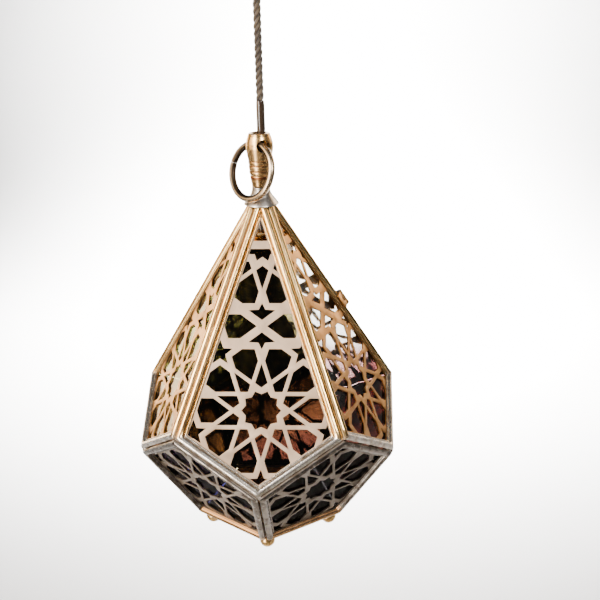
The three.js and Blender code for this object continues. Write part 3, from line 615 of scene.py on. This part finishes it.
def railMesh(name, outline, where, tins, top=None):
    # the section carried round a panel's outline, and cut off level where it has a top
    section, count = railSection(), railLook["perSide"]
    points, tinned, groove = [], [], []
    for s, t, deep in section:
        ring = inset(outline, s)
        for i, (x, y) in enumerate(ring):
            u, v = ring[(i + 1) % len(ring)]
            for k in range(count):
                f = k / count
                px, py = x + (u - x) * f, y + (v - y) * f
                sway = noise.noise(Vector((px, py, t)) * railLook["sway"] + Vector((7.3, 1.9, len(name))))
                lift = railLook["wobble"] * sway if t > railLook["stillBelow"] else 0
                points.append((px, py, t + lift))
                # a side's first tenth takes some of the solder of the side before
                before = max(0, 1 - f * 10) / 2
                tinned.append(tins[i] * (1 - before) + tins[i - 1] * before)
                groove.append(deep)
    total, rows = count * len(outline), len(section)
    faces = []
    for r in range(rows):
        for k in range(total):
            a, b = r * total, ((r + 1) % rows) * total
            faces.append((a + k, a + (k + 1) % total, b + (k + 1) % total, b + k))
    mesh = bpy.data.meshes.new(name)
    mesh.from_pydata(points, [], faces)
    for key, values in (("tinned", tinned), ("groove", groove)):
        layer = mesh.attributes.new(key, "FLOAT", "POINT")
        layer.data.foreach_set("value", values)
    work = bmesh.new()
    work.from_mesh(mesh)
    if top is not None:
        cut = bmesh.ops.bisect_plane(
            work, geom=[*work.verts, *work.edges, *work.faces], plane_co=(0, top, 0),
            plane_no=(0, 1, 0), clear_outer=True,
        )
        rim = [e for e in cut["geom_cut"] if isinstance(e, bmesh.types.BMEdge)]
        bmesh.ops.holes_fill(work, edges=rim, sides=0)
    bmesh.ops.recalc_face_normals(work, faces=work.faces)
    work.to_mesh(mesh)
    work.free()
    mesh.transform(where)
    return mesh


kiteNames = ["kite_1", "kite_2", "door", "kite_4", "kite_5"]
lowerNames = [f"lower_{i + 1}" for i in range(5)]


def makeRails():
    # how tinned each side of a panel is, in the order of its outline
    kiteTins, lowerTins = [0.0, 0.0, 1.0, 1.0], [1.0, 0.75, 0.0, 0.75, 1.0]
    peak = shape["kite"][1][1] - body["apexTrim"]
    for i, name in enumerate(kiteNames):
        top = peak - (body["doorTopGap"] if name == "door" else 0)
        mesh = railMesh("rails_" + name, shape["kite"], kitePlace(i), kiteTins, top)
        piece("rails_" + name, mesh, metals["upperRail"], [name + "_rails"], 50, bodyOf(name))
    for i, name in enumerate(lowerNames):
        mesh = railMesh("rails_" + name, shape["lower"], lowerPlace(i), lowerTins)
        piece("rails_" + name, mesh, metals["lowerRail"], [name + "_rails"], 50)


makeRails()
print("rails laid")


# pierced sheets, their cut edges broken and in a brighter brass, a painted highlight
sheetLook = {
    "edge": 0.00016,
    # painted light and shade: one brass, cool on the front, warm on the sides and darker on lower_1
    "tones": {"kite_1": "frontSheet", "kite_2": "sideSheet", "door": "sideSheet",
              "kite_4": "sideSheet", "kite_5": "sideSheet", "lower_1": "duskSheet"},
}


def makeSheets():
    for name in kiteNames + lowerNames:
        node = name + "_sheet"
        mesh = eroded(node, "pierced_" + name, sheetLook["edge"], edgeMaterial=True)
        tone = metals[sheetLook["tones"].get(name, "lowerSheet")]
        mesh.materials.clear()
        mesh.materials.append(tone)
        mesh.materials.append(metals["brightEdge"])
        piece("pierced_" + name, mesh, None, [node], 30, bodyOf(name))


makeSheets()
print("sheets pierced")


# coloured glass
# the tint of each pane, and the one towards its foot. Each pane's glass is one colour: the change between
# the two tints is painted light and shade for what is seen through it, and the dark tint of kite_1 and the
# near-black tints of lower_1 to lower_4 are painted shade
glassLook = {
    "kite_1": ((0.105, 0.085, 0.036), (0.6, 0.5, 0.29)),
    "kite_2": ((0.9, 0.9, 0.88), (0.16, 0.07, 0.07)),
    "door": ((0.93, 0.94, 0.92), (0.2, 0.12, 0.12)),
    "kite_4": ((0.06, 0.065, 0.03), (0.04, 0.04, 0.02)),
    "kite_5": ((0.42, 0.42, 0.22), (0.1, 0.1, 0.05)),
    "lower_1": ((0.02, 0.018, 0.02), (0.02, 0.02, 0.02)),
    "lower_2": ((0.035, 0.012, 0.008), (0.03, 0.01, 0.01)),
    "lower_3": ((0.03, 0.012, 0.008), (0.03, 0.01, 0.01)),
    "lower_4": ((0.04, 0.018, 0.008), (0.03, 0.02, 0.01)),
    "lower_5": ((0.026, 0.022, 0.11), (0.02, 0.02, 0.05)),
}
# the lower panes mirror less, as the floor below them is much brighter here than the real one
glassBend = {"upper": 1.32, "lower": 1.05}


def tintedGlass(name, tint, low):
    # sheet glass with slow waves, a few seeds, and a painted change of tint towards its foot and to one
    # side, for the light and shade seen through it
    finish = Finish(name + "Glass")
    wave = finish.cloud(38, 2)
    streak = finish.cloud(60, 3, 0.6, (1, 1, 0.25))
    seed = finish.cloud(700, 1)
    deeper = tuple(c * c * 0.6 + c * 0.4 for c in tint)
    height = finish.node("ShaderNodeSeparateXYZ", None, {0: finish.place}, 2)
    foot, top = (corner.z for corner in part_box(name + "_glass"))
    across = finish.node("ShaderNodeSeparateXYZ", None, {0: finish.place}, 0)
    # painted light and shade: where the foot tint takes over, by height and across the pane
    share = (height - foot) / (top - foot) + (streak - 0.5) * 0.3 - across * 2.4
    colour = finish.blend(finish.band(streak, 0.4, 0.7) * 0.6, tint, deeper)
    colour = finish.blend(finish.band(share, 0.12, 0.34), low, colour)
    return finish.shaded(
        colour=colour, rough=0.02 + finish.band(seed, 0.6, 0.8) * 0.08, metal=0.0, through=1.0,
        ior=glassBend["lower" if name in lowerNames else "upper"],
        normal=finish.bump(wave + seed * 0.02, 0.18, 0.002),
    )


def dressGlass():
    for name, (tint, low) in glassLook.items():
        pane = nodes[name + "_glass"]
        pane.data.materials.clear()
        pane.data.materials.append(tintedGlass(name, tint, low))


dressGlass()
print("panes tinted")


# base: plate with scrollwork, ball feet, solder at the corners
baseLook = {
    "scrolls": 10,
    "scrollRing": 0.0265,
    "scrollRadius": 0.0062,
    "wire": 0.00055,
    "turns": 2.6,
    "innerRing": 0.68,
    "innerScale": 0.62,
    "innerTurn": 2.2,
    "rims": (0.0125, 0.0345, 0.0365),
}


def scrollMesh(level):
    # spirals of round wire on two circles, with rims inside and outside
    rimA, rimB, rimC = baseLook["rims"]
    grow = Growth("floorScrolls", ring=baseLook["scrollRing"], size=baseLook["scrollRadius"],
                  wire=baseLook["wire"], level=level, count=baseLook["scrolls"],
                  rimA=rimA, rimB=rimB, rimC=rimC)
    spiral = grow.node("GeometryNodeCurveSpiral", None, {
        "Resolution": 40, "Rotations": baseLook["turns"], "Start Radius": grow["size"] * 0.12,
        "End Radius": grow["size"], "Height": 0.0,
    })
    outer = grow.circle(grow["count"], grow["ring"])
    inner = grow.circle(grow["count"], grow["ring"] * baseLook["innerRing"])
    angle = grow.node("GeometryNodeInputIndex") * (2 * math.pi) / grow["count"]
    lines = grow.joined(
        grow.copies(outer, spiral, Rotation=grow.spot(0.0, 0.0, angle)),
        grow.copies(inner, spiral, Rotation=grow.spot(math.pi, 0.0, angle + baseLook["innerTurn"]),
                    Scale=(baseLook["innerScale"],) * 3),
        *(grow.ring(96, grow[rim]) for rim in ("rimA", "rimB", "rimC")),
    )
    wires = grow.tube(grow.real(lines), 8, grow["wire"])
    place = grow.spot(*body["axis"], grow["level"])
    return grow.grown(grow.pushed(wires, place), metals["scrollCopper"])


def makeBase():
    plate = eroded("base_plate", "floorPlate", 0.0002)
    piece("floorPlate", plate, metals["floorCopper"], ["base_plate"])
    mesh = scrollMesh(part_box("base_plate")[1].z + baseLook["wire"] * 0.3)
    piece("floorScrolls", mesh, None)


footLook = {
    "radius": 0.0058,
    "inset": 0.009,
    "count": 5,
    "collar": 0.0034,
    "collarFoot": 0.62,
    "collarHeight": 0.34,
    "collarLift": 0.68,
}


def footMesh():
    # a ball with a brass collar above it, at each corner of the base
    grow = Growth("ballFeet", radius=footLook["radius"], reach=body["baseRadius"] - footLook["inset"],
                  level=body["belt"] - shape["depth"] - footLook["radius"],
                  collar=footLook["collar"], count=footLook["count"])
    ball = grow.node("GeometryNodeMeshUVSphere", None, {
        "Segments": 40, "Rings": 24, "Radius": grow["radius"],
    })
    collar = grow.node("GeometryNodeMeshCone", None, {
        "Vertices": 32, "Side Segments": 3, "Radius Top": grow["collar"],
        "Radius Bottom": grow["collar"] * footLook["collarFoot"],
        "Depth": grow["radius"] * footLook["collarHeight"],
    })
    lift = grow.spot(0.0, 0.0, grow["radius"] * footLook["collarLift"])
    foot = grow.joined(ball, grow.moved(collar, Translation=lift))
    corners = grow.moved(grow.circle(grow["count"], grow["reach"]), Rotation=(0.0, 0.0, -math.pi / 2),
                         Translation=grow.spot(*body["axis"], grow["level"]))
    return grow.grown(grow.copies(corners, foot), metals["turnedBrass"])


def makeFeet():
    stands = [f"foot_{i + 1}" for i in range(footLook["count"])]
    piece("ballFeet", footMesh(), None, stands, 50)


solderLook = {"size": 0.0018, "seed": 7, "spread": 0.15, "sunk": 0.0024, "grain": 380.0}


def solderMesh():
    # lumps of solder over the corners where three rails meet
    sunk = solderLook["sunk"]
    grow = Growth("cornerSolder", size=solderLook["size"], upper=body["beltRadius"] - sunk,
                  lower=shape["lowerBelt"] - sunk, drop=body["beltDrop"],
                  spread=solderLook["spread"], seed=solderLook["seed"])
    corners = grow.joined(
        grow.moved(grow.circle(5, grow["upper"]), Rotation=(0, 0, math.pi / 2)),
        grow.moved(grow.circle(5, grow["lower"]), Rotation=(0, 0, -math.pi / 2),
                   Translation=grow.spot(0.0, 0.0, 0.0 - grow["drop"])),
    )
    lump = grow.node("GeometryNodeMeshIcoSphere", None, {"Radius": grow["size"], "Subdivisions": 4})
    grain = grow.node("ShaderNodeTexNoise", None, {"Scale": solderLook["grain"], "Detail": 2.0})
    shift = grow.node("ShaderNodeVectorMath", {"operation": "SCALE"}, {
        0: grow.node("GeometryNodeInputNormal"), "Scale": (grain - 0.5) * grow["size"],
    })
    low, high = 1 - grow["spread"], 1 + grow["spread"]
    scale = grow.node("FunctionNodeRandomValue", {"data_type": "FLOAT"}, {
        2: low, 3: high, "Seed": grow["seed"],
    }, 1)
    spin = grow.node("FunctionNodeRandomValue", {"data_type": "FLOAT_VECTOR"}, {
        0: (0.0, 0.0, 0.0), 1: (6.28,) * 3, "Seed": grow["seed"],
    })
    lumps = grow.copies(corners, grow.pushed(lump, shift), Rotation=spin, Scale=scale)
    return grow.grown(lumps, metals["solder"])


def makeSolder():
    mesh = solderMesh()
    mesh.transform(lantern)
    piece("cornerSolder", mesh, None, (), 60)


makeBase()
makeFeet()
makeSolder()
print("base, feet and solder made")


# neck, ferrule and ring
def level(height):
    # millimetres above the upper belt, as a height under the ceiling in millimetres
    return height + body["belt"] * 1000


# in millimetres: heights from the upper belt, and outlines from the foot of each part
neckLook = {
    "capBottom": 149.56,
    "cap": [
        (4.7, 0), (9.13, 0), (10.45, -2.6), (12.5, -2.6), (12.6, -1.9), (10.2, 1.4), (8.4, 3.6),
        (7.2, 5.8), (6.6, 8.2), (6.5, 10.3), (4.7, 10.3),
    ],
    "tubeBore": 2.9,
    "threadRoot": 4.12,
    "threadCrest": 4.4,
    "threadPitch": 0.9,
    "ferruleBottom": 160.16,
    "ferruleTop": 197.96,
}
ferruleLook = {
    "outside": [
        (6.35, 0), (6.6, 0.5), (6.9, 3.4), (7.5, 7.1), (7.25, 7.6), (7.25, 8.2), (7.8, 8.8), (8, 10.6),
        (7.65, 11), (7.65, 11.4), (8.15, 11.8), (8.3, 14.6), (7.9, 15), (7.9, 15.5), (8.35, 15.9),
        (8.5, 17.9), (8.2, 18.2), (8.2, 18.6), (8.55, 18.9), (8.75, 20.5), (9.2, 23.4), (9.8, 27.4),
        (9.6, 30.8), (8.85, 33.7), (8.1, 36), (7.85, 36.3), (7.8, 37.2), (7.2, 37.8),
    ],
    "inside": [(5.4, 37.8), (5.4, 34.4), (6.6, 33.4), (6.6, 10), (4.7, 8.3), (4.7, 0)],
    "holeRadius": 4.5,
    "holeDrop": 8.4,
    "holeOffset": 3.6,
    "holeTurn": 49,
    "wornBand": (6.6, 1.9),
    "grooves": (11.2, 15.2, 18.4),
    "grooveReach": 0.5,
}


def onAxis(z=0.0):
    return Matrix.Translation((*body["axis"], z / 1000))


def makeNeck():
    place = onAxis(level(neckLook["capBottom"]))
    turnedPiece("neckCap", eased(neckLook["cap"], 0.6), 72, place,
                metals["solder"], "neck_cap", 40)
    bore, root, crest = neckLook["tubeBore"], neckLook["threadRoot"], neckLook["threadCrest"]
    low, high = (corner.z * 1000 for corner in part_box("threaded_tube"))
    rows = [(bore, low), (root, low)]
    z = low + 0.4
    while z < high - 0.8:
        rows += [(root, z), (crest, z + 0.35), (root, z + 0.7)]
        z += neckLook["threadPitch"]
    rows += [(root, high), (bore, high)]
    turnedPiece("threadedTube", rows, 48, onAxis(), metals["solder"], "threaded_tube", 60)


def holeCutter():
    # the bar that cuts the cross hole, off centre towards the ring's side
    spin = math.radians(ferruleLook["holeTurn"])
    radius, reach = ferruleLook["holeRadius"], 30
    off = Vector((-math.cos(spin), -math.sin(spin), 0)) * ferruleLook["holeOffset"] / 1000
    height = (level(neckLook["ferruleTop"]) - ferruleLook["holeDrop"]) / 1000
    bar = turnedMesh("holeBar", [(0, -reach), (radius, -reach), (radius, reach), (0, reach)], 40)
    place = Matrix.Translation(Vector((*body["axis"], height)) + off)
    bar.transform(place @ Matrix.Rotation(spin, 4, "Z") @ Matrix.Rotation(math.pi / 2, 4, "X"))
    return linked("holeBar", bar)


def makeFerrule():
    bottom = level(neckLook["ferruleBottom"])
    profile = eased(ferruleLook["outside"], 0.3, 3) + ferruleLook["inside"]
    made = linked("turnedFerrule", turnedMesh("turnedFerrule", profile, 96, onAxis(bottom)))
    cutter = holeCutter()
    cut = made.modifiers.new("hole", "BOOLEAN")
    cut.operation = "DIFFERENCE"
    cut.solver = "EXACT"
    cut.object = cutter
    mesh = applied(made, "ferruleTurned")
    bpy.data.objects.remove(cutter)

    def rule(point):
        # red where the lacquer is worn, and dirt in the grooves
        height = point.z * 1000 - bottom
        middle, reach = ferruleLook["wornBand"]
        worn = max(0.0, 1 - abs(height - middle) / reach)
        dirt = max(0.0, *(1 - abs(height - z) / ferruleLook["grooveReach"] for z in ferruleLook["grooves"]))
        return max(worn, 0.9 * dirt)

    storeStainAndShade(mesh, rule)
    piece("ferruleTurned", mesh, metals["ferruleBrass"], ["ferrule"], 30)


ringLook = {
    "radius": 19.4,
    "wire": 2.5,
    "lean": 15.8,
    "exit": 9.7,
    "gap": 0.35,
    "joint": 192.0,
    "slack": 0.22,
    "endTaper": 0.94,
    "steps": 140,
    "sides": 20,
}


def ringPlace():
    # hangs from the cross hole's lower edge, leaning out from the ferrule
    spin, lean = math.radians(ferruleLook["holeTurn"]), math.radians(ringLook["lean"])
    radius, offset = ringLook["radius"], ferruleLook["holeOffset"]
    along = Vector((math.sin(spin), -math.cos(spin), 0))
    side = Vector((-math.cos(spin), -math.sin(spin), 0))
    down = side * math.sin(lean) + Vector((0, 0, -math.cos(lean)))
    half = math.sqrt(ringLook["exit"] ** 2 - offset ** 2)
    sag = radius - math.sqrt(radius ** 2 - half ** 2)
    centre = side * offset
    centre.z = level(neckLook["ferruleTop"]) - ferruleLook["holeDrop"]
    centre += down * (radius - sag / 2)
    place = Matrix((along, down, along.cross(down))).transposed().to_4x4()
    place.translation = (centre / 1000) + Vector((*body["axis"], 0))
    return place


def makeRing():
    place = ringPlace()
    # bent from one length of wire: a fine butt joint shows at one side
    gap = ringLook["gap"] / ringLook["radius"]
    joint = math.radians(ringLook["joint"])
    points, faces, count, around = [], [], ringLook["steps"], ringLook["sides"]
    for k in range(count + 1):
        angle = joint + gap / 2 + (2 * math.pi - gap) * k / count
        slack = ringLook["slack"] * (k / count - 0.5)
        wire = ringLook["wire"] * (ringLook["endTaper"] if k in (0, count) else 1)
        for j in range(around):
            phi = 2 * math.pi * j / around
            r = ringLook["radius"] + slack + wire * math.cos(phi)
            z = wire * math.sin(phi) + slack * 0.8
            points.append((r * math.cos(angle) / 1000, r * math.sin(angle) / 1000, z / 1000))
    for k in range(count):
        for j in range(around):
            a, b = k * around, (k + 1) * around
            faces.append((a + j, a + (j + 1) % around, b + (j + 1) % around, b + j))
    faces.append(tuple(range(around)))
    faces.append(tuple(range(count * around, (count + 1) * around)))
    mesh = meshOf("bentRing", points, faces, place)
    middle = place.translation

    def rule(point):
        # painted shade: the inside of the ring is darkened to near black, for the shade that falls there
        inward = (ringLook["radius"] - (point - middle).length * 1000) / ringLook["wire"]
        return max(0.0, min(1.0, 0.5 + inward * 1.2))

    storeStainAndShade(mesh, rule)
    piece("bentRing", mesh, metals["ringBrass"], ["hanging_ring"], 40, "ring")


sleeveLook = {"bore": 2.0, "outside": 3.0, "mouth": 2.7, "lip": 1.2}


def sleeveFinish():
    finish = Finish("glossySleeve")
    tone = finish.cloud(210, 3, 0.5, (1, 1, 0.15))
    colour = finish.blend(finish.band(tone, 0.35, 0.7), (0.030, 0.017, 0.010), (0.085, 0.052, 0.030))
    return finish.shaded(
        colour=colour, metal=0.0, rough=0.16 + tone * 0.1, coat=0.6, coatRough=0.08,
        normal=finish.bump(tone, 0.15, 0.0004),
    )


def makeSleeve():
    low, high = (corner.z * 1000 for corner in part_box("cord_sleeve"))
    bore, outside = sleeveLook["bore"], sleeveLook["outside"]
    profile = [
        (bore, low), (outside, low), (outside, high - sleeveLook["lip"]), (sleeveLook["mouth"], high),
        (bore, high),
    ]
    turnedPiece("glossySleeve", eased(profile, 0.6), 48, None, sleeveFinish(), "cord_sleeve")


makeNeck()
makeFerrule()
makeRing()
makeSleeve()
print("neck, ferrule and ring turned")


# hinge, latch, washer and nut: the solids with their edges broken
# metal, body, width of the broken edge, slot
fittingLook = {
    "hinge_leaf_fixed": ("sideSheet", "frame", 0.00018, "brass_turned"),
    "hinge_leaf_door": ("sideSheet", "door", 0.00018, "brass_turned"),
    "hinge_pin": ("solder", "frame", 0.00018, "bright_steel"),
    "latch_button": ("turnedBrass", "latch", 0.00025, "brass_turned"),
    "latch_rivet": ("platedSteel", "frame", 0.00015, "bright_steel"),
    "inner_washer": ("turnedBrass", "frame", 0.0003, "brass_turned"),
    "lock_nut": ("turnedBrass", "frame", 0.0004, "brass_turned"),
    "ceiling_bar": ("platedSteel", "frame", 0.0003, "bright_steel"),
}


def makeFittings():
    for node, (metal, rides, width, slot) in fittingLook.items():
        mesh = eroded(node, "dressed_" + node, width, 40)
        piece("dressed_" + node, mesh, metals[metal], [node], 40, rides)


makeFittings()
print("fittings dressed")


# lampholder and bulb, in millimetres, with heights from the upper belt
holderLook = {
    "top": 122.07,
    "capBottom": 102.07,
    "bodyTop": 101.77,
    "bottom": 71.77,
    "tube": 4.7,
    "capOutside": 17,
    "capInside": 14.6,
    "bead": 17.6,
    "radius": 19.5,
    "ribs": 5,
    "ribPitch": 3.2,
    "ribDepth": 0.6,
    "bore": 13.1,
    "wire": 3,
    "wall": 2.4,
}
bulbLook = {
    "top": 99.07,
    "capBottom": 74.07,
    "radius": 28.0,
    "height": 76.0,
    "wall": 1.1,
    "capRadius": 12.8,
    "capWall": 1.2,
    "pitch": 3.4,
    "round": 0.72,
}


def mouldedPlastic(name, light, shade):
    finish = Finish(name)
    tone, speck = finish.cloud(70, 3), finish.cloud(2200, 2)
    colour = finish.blend(finish.band(tone, 0.35, 0.7), light, shade)
    return finish.shaded(
        colour=colour, metal=0.0, rough=0.38 + speck * 0.15, normal=finish.bump(speck, 0.12, 0.0001),
    )


def frostedGlass():
    finish = Finish("frostedBulb")
    speck, tone = finish.cloud(1800, 2), finish.cloud(60, 3)
    colour = finish.blend(finish.band(tone, 0.3, 0.7), (0.93, 0.92, 0.88), (0.86, 0.84, 0.78))
    return finish.shaded(
        colour=colour, metal=0.0, rough=0.34 + speck * 0.1, through=0.55, ior=1.45,
        normal=finish.bump(speck, 0.08, 0.0001),
    )


def makeHolder():
    look = holderLook
    top, foot, tube, wall = look["top"], look["capBottom"], look["tube"], look["wall"]
    outside, inside, bead = look["capOutside"], look["capInside"], look["bead"]
    cap = [
        (tube, top), (11, top), (outside, top - 7), (outside, foot + 2.2), (bead, foot + 1.6), (bead, foot),
        (inside, foot), (inside, top - 7.5), (10, top - wall), (tube, top - wall),
    ]
    place = onAxis(body["belt"] * 1000)
    turnedPiece("holderCap", eased(cap, 1.6, 4), 64, place,
                metals["turnedBrass"], "lampholder_cap")
    top, bottom, radius = look["bodyTop"], look["bottom"], look["radius"]
    root = radius - look["ribDepth"]
    bore, wire = look["bore"], look["wire"]
    rows = [(wire, top), (outside, top), (radius, top - 4)]
    for k in range(look["ribs"]):
        z = top - 9 - look["ribPitch"] * k
        rows += [(radius, z), (root, z - 0.5), (root, z - 1.1), (radius, z - 1.6)]
    rows += [(radius, bottom), (bore, bottom), (bore, top - wall), (wire, top - wall)]
    plastic = mouldedPlastic("holderPlastic", (0.74, 0.71, 0.64), (0.62, 0.58, 0.50))
    turnedPiece("holderBody", eased(rows, 0.5, 2), 64, place,
                plastic, "lampholder_body")


def bulbShell(depth):
    # a ball and the curve from it into the cap, this far under the outer face
    low, radius = bulbLook["capBottom"], bulbLook["radius"] - depth
    neck = bulbLook["capRadius"] - bulbLook["capWall"] - 0.3 - depth
    centre = low - bulbLook["height"] + bulbLook["radius"]
    rows = []
    for k in range(25):
        angle = -math.pi / 2 + k * math.pi * bulbLook["round"] / 24
        rows.append((radius * math.cos(angle) if k else 0.0, centre + radius * math.sin(angle)))
    startRadius, start = rows[-1]
    for k in range(1, 8):
        t = k / 8
        ease = t * t * (3 - 2 * t)
        rows.append((startRadius + (neck - startRadius) * ease, start + (low - 4 - start) * t))
    return rows + [(neck, low - 4), (neck, low + 12)]


def makeBulb():
    top, low, outer = bulbLook["top"], bulbLook["capBottom"], bulbLook["capRadius"]
    inner = outer - bulbLook["capWall"]
    rows = [(0, top), (3.4, top), (4.2, top - 0.7), (6.5, top - 2.6), (outer - 1, top - 5)]
    z = top - 6
    while z > low + 3.5:
        rows += [(outer - 0.9, z), (outer, z - 1.2), (outer, z - 1.7), (outer - 0.9, z - 2.9)]
        z -= bulbLook["pitch"]
    rows += [(outer - 0.3, low + 1), (outer, low), (inner, low), (inner, top - 7), (0, top - 4)]
    place = onAxis(body["belt"] * 1000)
    turnedPiece("bulbCap", eased(rows, 0.4, 2), 64, place,
                metals["platedSteel"], "bulb_cap", 45, "bulb")
    turnedPiece("bulbGlass", bulbShell(0) + bulbShell(bulbLook["wall"])[::-1], 64, place,
                frostedGlass(), "bulb_glass", 60, "bulb")


def dressInnerFlex():
    finish = Finish("innerFlex")
    tone = finish.cloud(900, 2)
    colour = finish.blend(tone, (0.03, 0.027, 0.024), (0.07, 0.062, 0.055))
    flex = nodes["inner_flex"]
    flex.data.materials.clear()
    flex.data.materials.append(finish.shaded(
        colour=colour, metal=0.0, rough=0.5 + tone * 0.2, normal=finish.bump(tone, 0.2, 0.0002),
    ))


makeHolder()
makeBulb()
dressInnerFlex()
print("holder and bulb made")


# ceiling fitting
# radius and height pairs in millimetres, the canopy's and the grip's from the canopy's foot
ceilingLook = {
    "foot": -24.3,
    "canopy": [
        (5.1, 0), (14, 0), (24, 5), (31, 14), (33, 20), (33, 24), (31.8, 24),
        (31.8, 20.4), (29.8, 14.8), (23.2, 6.1), (13.6, 1.2), (5.1, 1.2),
    ],
    "grip": [
        (0, -8.3), (4.25, -8.3), (5.2, -7.2), (7, -5.3), (8, -3.3), (8, -0.3),
        (5.1, -0.3), (5.1, -5.6), (0, -5.6),
    ],
    "stemRoot": 4.2,
    "stemCrest": 4.8,
    "stemPitch": 1.25,
    "stemTop": -2.6,
}


def makeCeiling():
    foot = ceilingLook["foot"]
    place = Matrix.Translation((0, 0, foot / 1000))
    turnedPiece("canopyCup", eased(ceilingLook["canopy"], 3.5, 6), 96, place,
                metals["turnedBrass"], "canopy", 40)
    turnedPiece("cordGrip", eased(ceilingLook["grip"], 0.9, 3), 64, place,
                metals["turnedBrass"], "cord_grip", 40)
    root, crest, top = ceilingLook["stemRoot"], ceilingLook["stemCrest"], ceilingLook["stemTop"]
    stem = [(0, foot - 5), (root, foot - 5)]
    z = foot - 4.6
    while z < top - 1.6:
        stem += [(root, z), (crest, z + 0.5), (root, z + 1.0)]
        z += ceilingLook["stemPitch"]
    stem += [(root, top), (0, top)]
    turnedPiece("canopyStem", stem, 40, None, metals["platedSteel"], "canopy_stem", 60)
    mesh = eroded("terminal_block", "wireTerminal", 0.0008)
    plastic = mouldedPlastic("terminalPlastic", (0.72, 0.71, 0.68), (0.62, 0.60, 0.56))
    piece("wireTerminal", mesh, plastic, ["terminal_block"])


makeCeiling()
print("ceiling fitting made")


# floor, backdrop and light
centre = (0, 0, -0.27)
stageLook = {
    "floor": -1.1,
    "size": 9.0,
    "bendStart": 2.4,
    "bend": 1.6,
    "bendSteps": 12,
    "wall": 6.0,
    "sky": (0.90, 0.88, 0.86, 1),
    "skyPower": 0.12,
    # where it stands, where it points, size, power, spread in degrees, tint
    "lamps": {
        "key": ((-1.05, -1.1, 0.55), centre, (0.7, 0.7), 6.5, 60, (1.0, 0.94, 0.87)),
        "strip": ((-0.95, -1.25, -0.4), centre, (0.3, 1.2), 4.5, 60, (1.0, 0.93, 0.84)),
        "left": ((-1.6, -0.5, 0.2), centre, (1.0, 1.3), 4, 80, (1.0, 0.74, 0.46)),
        "right": ((0.70, -1.14, 0.53), centre, (0.22, 0.22), 1.6, 50, (1.0, 0.97, 0.93)),
        "backRight": ((1.5, 1.3, 0.45), centre, (0.8, 1.0), 3.2, 70, (1.0, 0.76, 0.50)),
        "backLeft": ((-1.5, 1.6, -0.3), centre, (0.8, 1.0), 3.5, 70, (1.0, 0.72, 0.42)),
        "floorWash": ((0, 2.3, 1.7), (0, 2.3, -1.1), (0.9, 0.9), 330, 62, (1.0, 0.99, 0.98)),
        "wallWash": ((0, 1.7, 1.25), (0, 4.0, -0.3), (0.9, 0.9), 230, 75, (1.0, 0.99, 0.98)),
    },
}


def makeSweep():
    # a pale floor that bends up into the backdrop
    finish = Finish("paleFloor")
    speck = finish.cloud(6, 2)
    colour = finish.blend(speck, (0.90, 0.89, 0.88), (0.93, 0.925, 0.92))
    size, floor, bend = stageLook["size"], stageLook["floor"], stageLook["bend"]
    rows = [(-size, 0.0)]
    for k in range(stageLook["bendSteps"] + 1):
        angle = math.pi / 2 * k / stageLook["bendSteps"]
        rows.append((stageLook["bendStart"] + bend * math.sin(angle), bend - bend * math.cos(angle)))
    rows.append((stageLook["bendStart"] + bend, stageLook["wall"]))
    points, faces = [], []
    for y, z in rows:
        points += [(-size, y, floor + z), (size, y, floor + z)]
    for k in range(len(rows) - 1):
        faces.append((2 * k, 2 * k + 1, 2 * k + 3, 2 * k + 2))
    mesh = bpy.data.meshes.new("sweep")
    mesh.from_pydata(points, [], faces)
    mesh.materials.append(finish.shaded(colour=colour, rough=0.85, metal=0.0, gleam=0.2))
    smoothed(mesh, 60)
    sweep = linked("sweep", mesh)


def makeLamps():
    for name, (place, aim, size, power, spread, tint) in stageLook["lamps"].items():
        data = bpy.data.lights.new(name, "AREA")
        data.shape = "RECTANGLE"
        data.size, data.size_y = size
        data.energy, data.color = power, tint
        data.spread = math.radians(spread)
        lamp = linked(name, data)
        lamp.location = place
        lamp.rotation_euler = (Vector(aim) - Vector(place)).to_track_quat("-Z", "Y").to_euler()
    world = bpy.data.worlds.new("paleRoom")
    bpy.context.scene.world = world
    world.use_nodes = True
    sky = world.node_tree.nodes["Background"]
    sky.inputs["Color"].default_value = stageLook["sky"]
    sky.inputs["Strength"].default_value = stageLook["skyPower"]


makeSweep()
makeLamps()
print("stage lit")
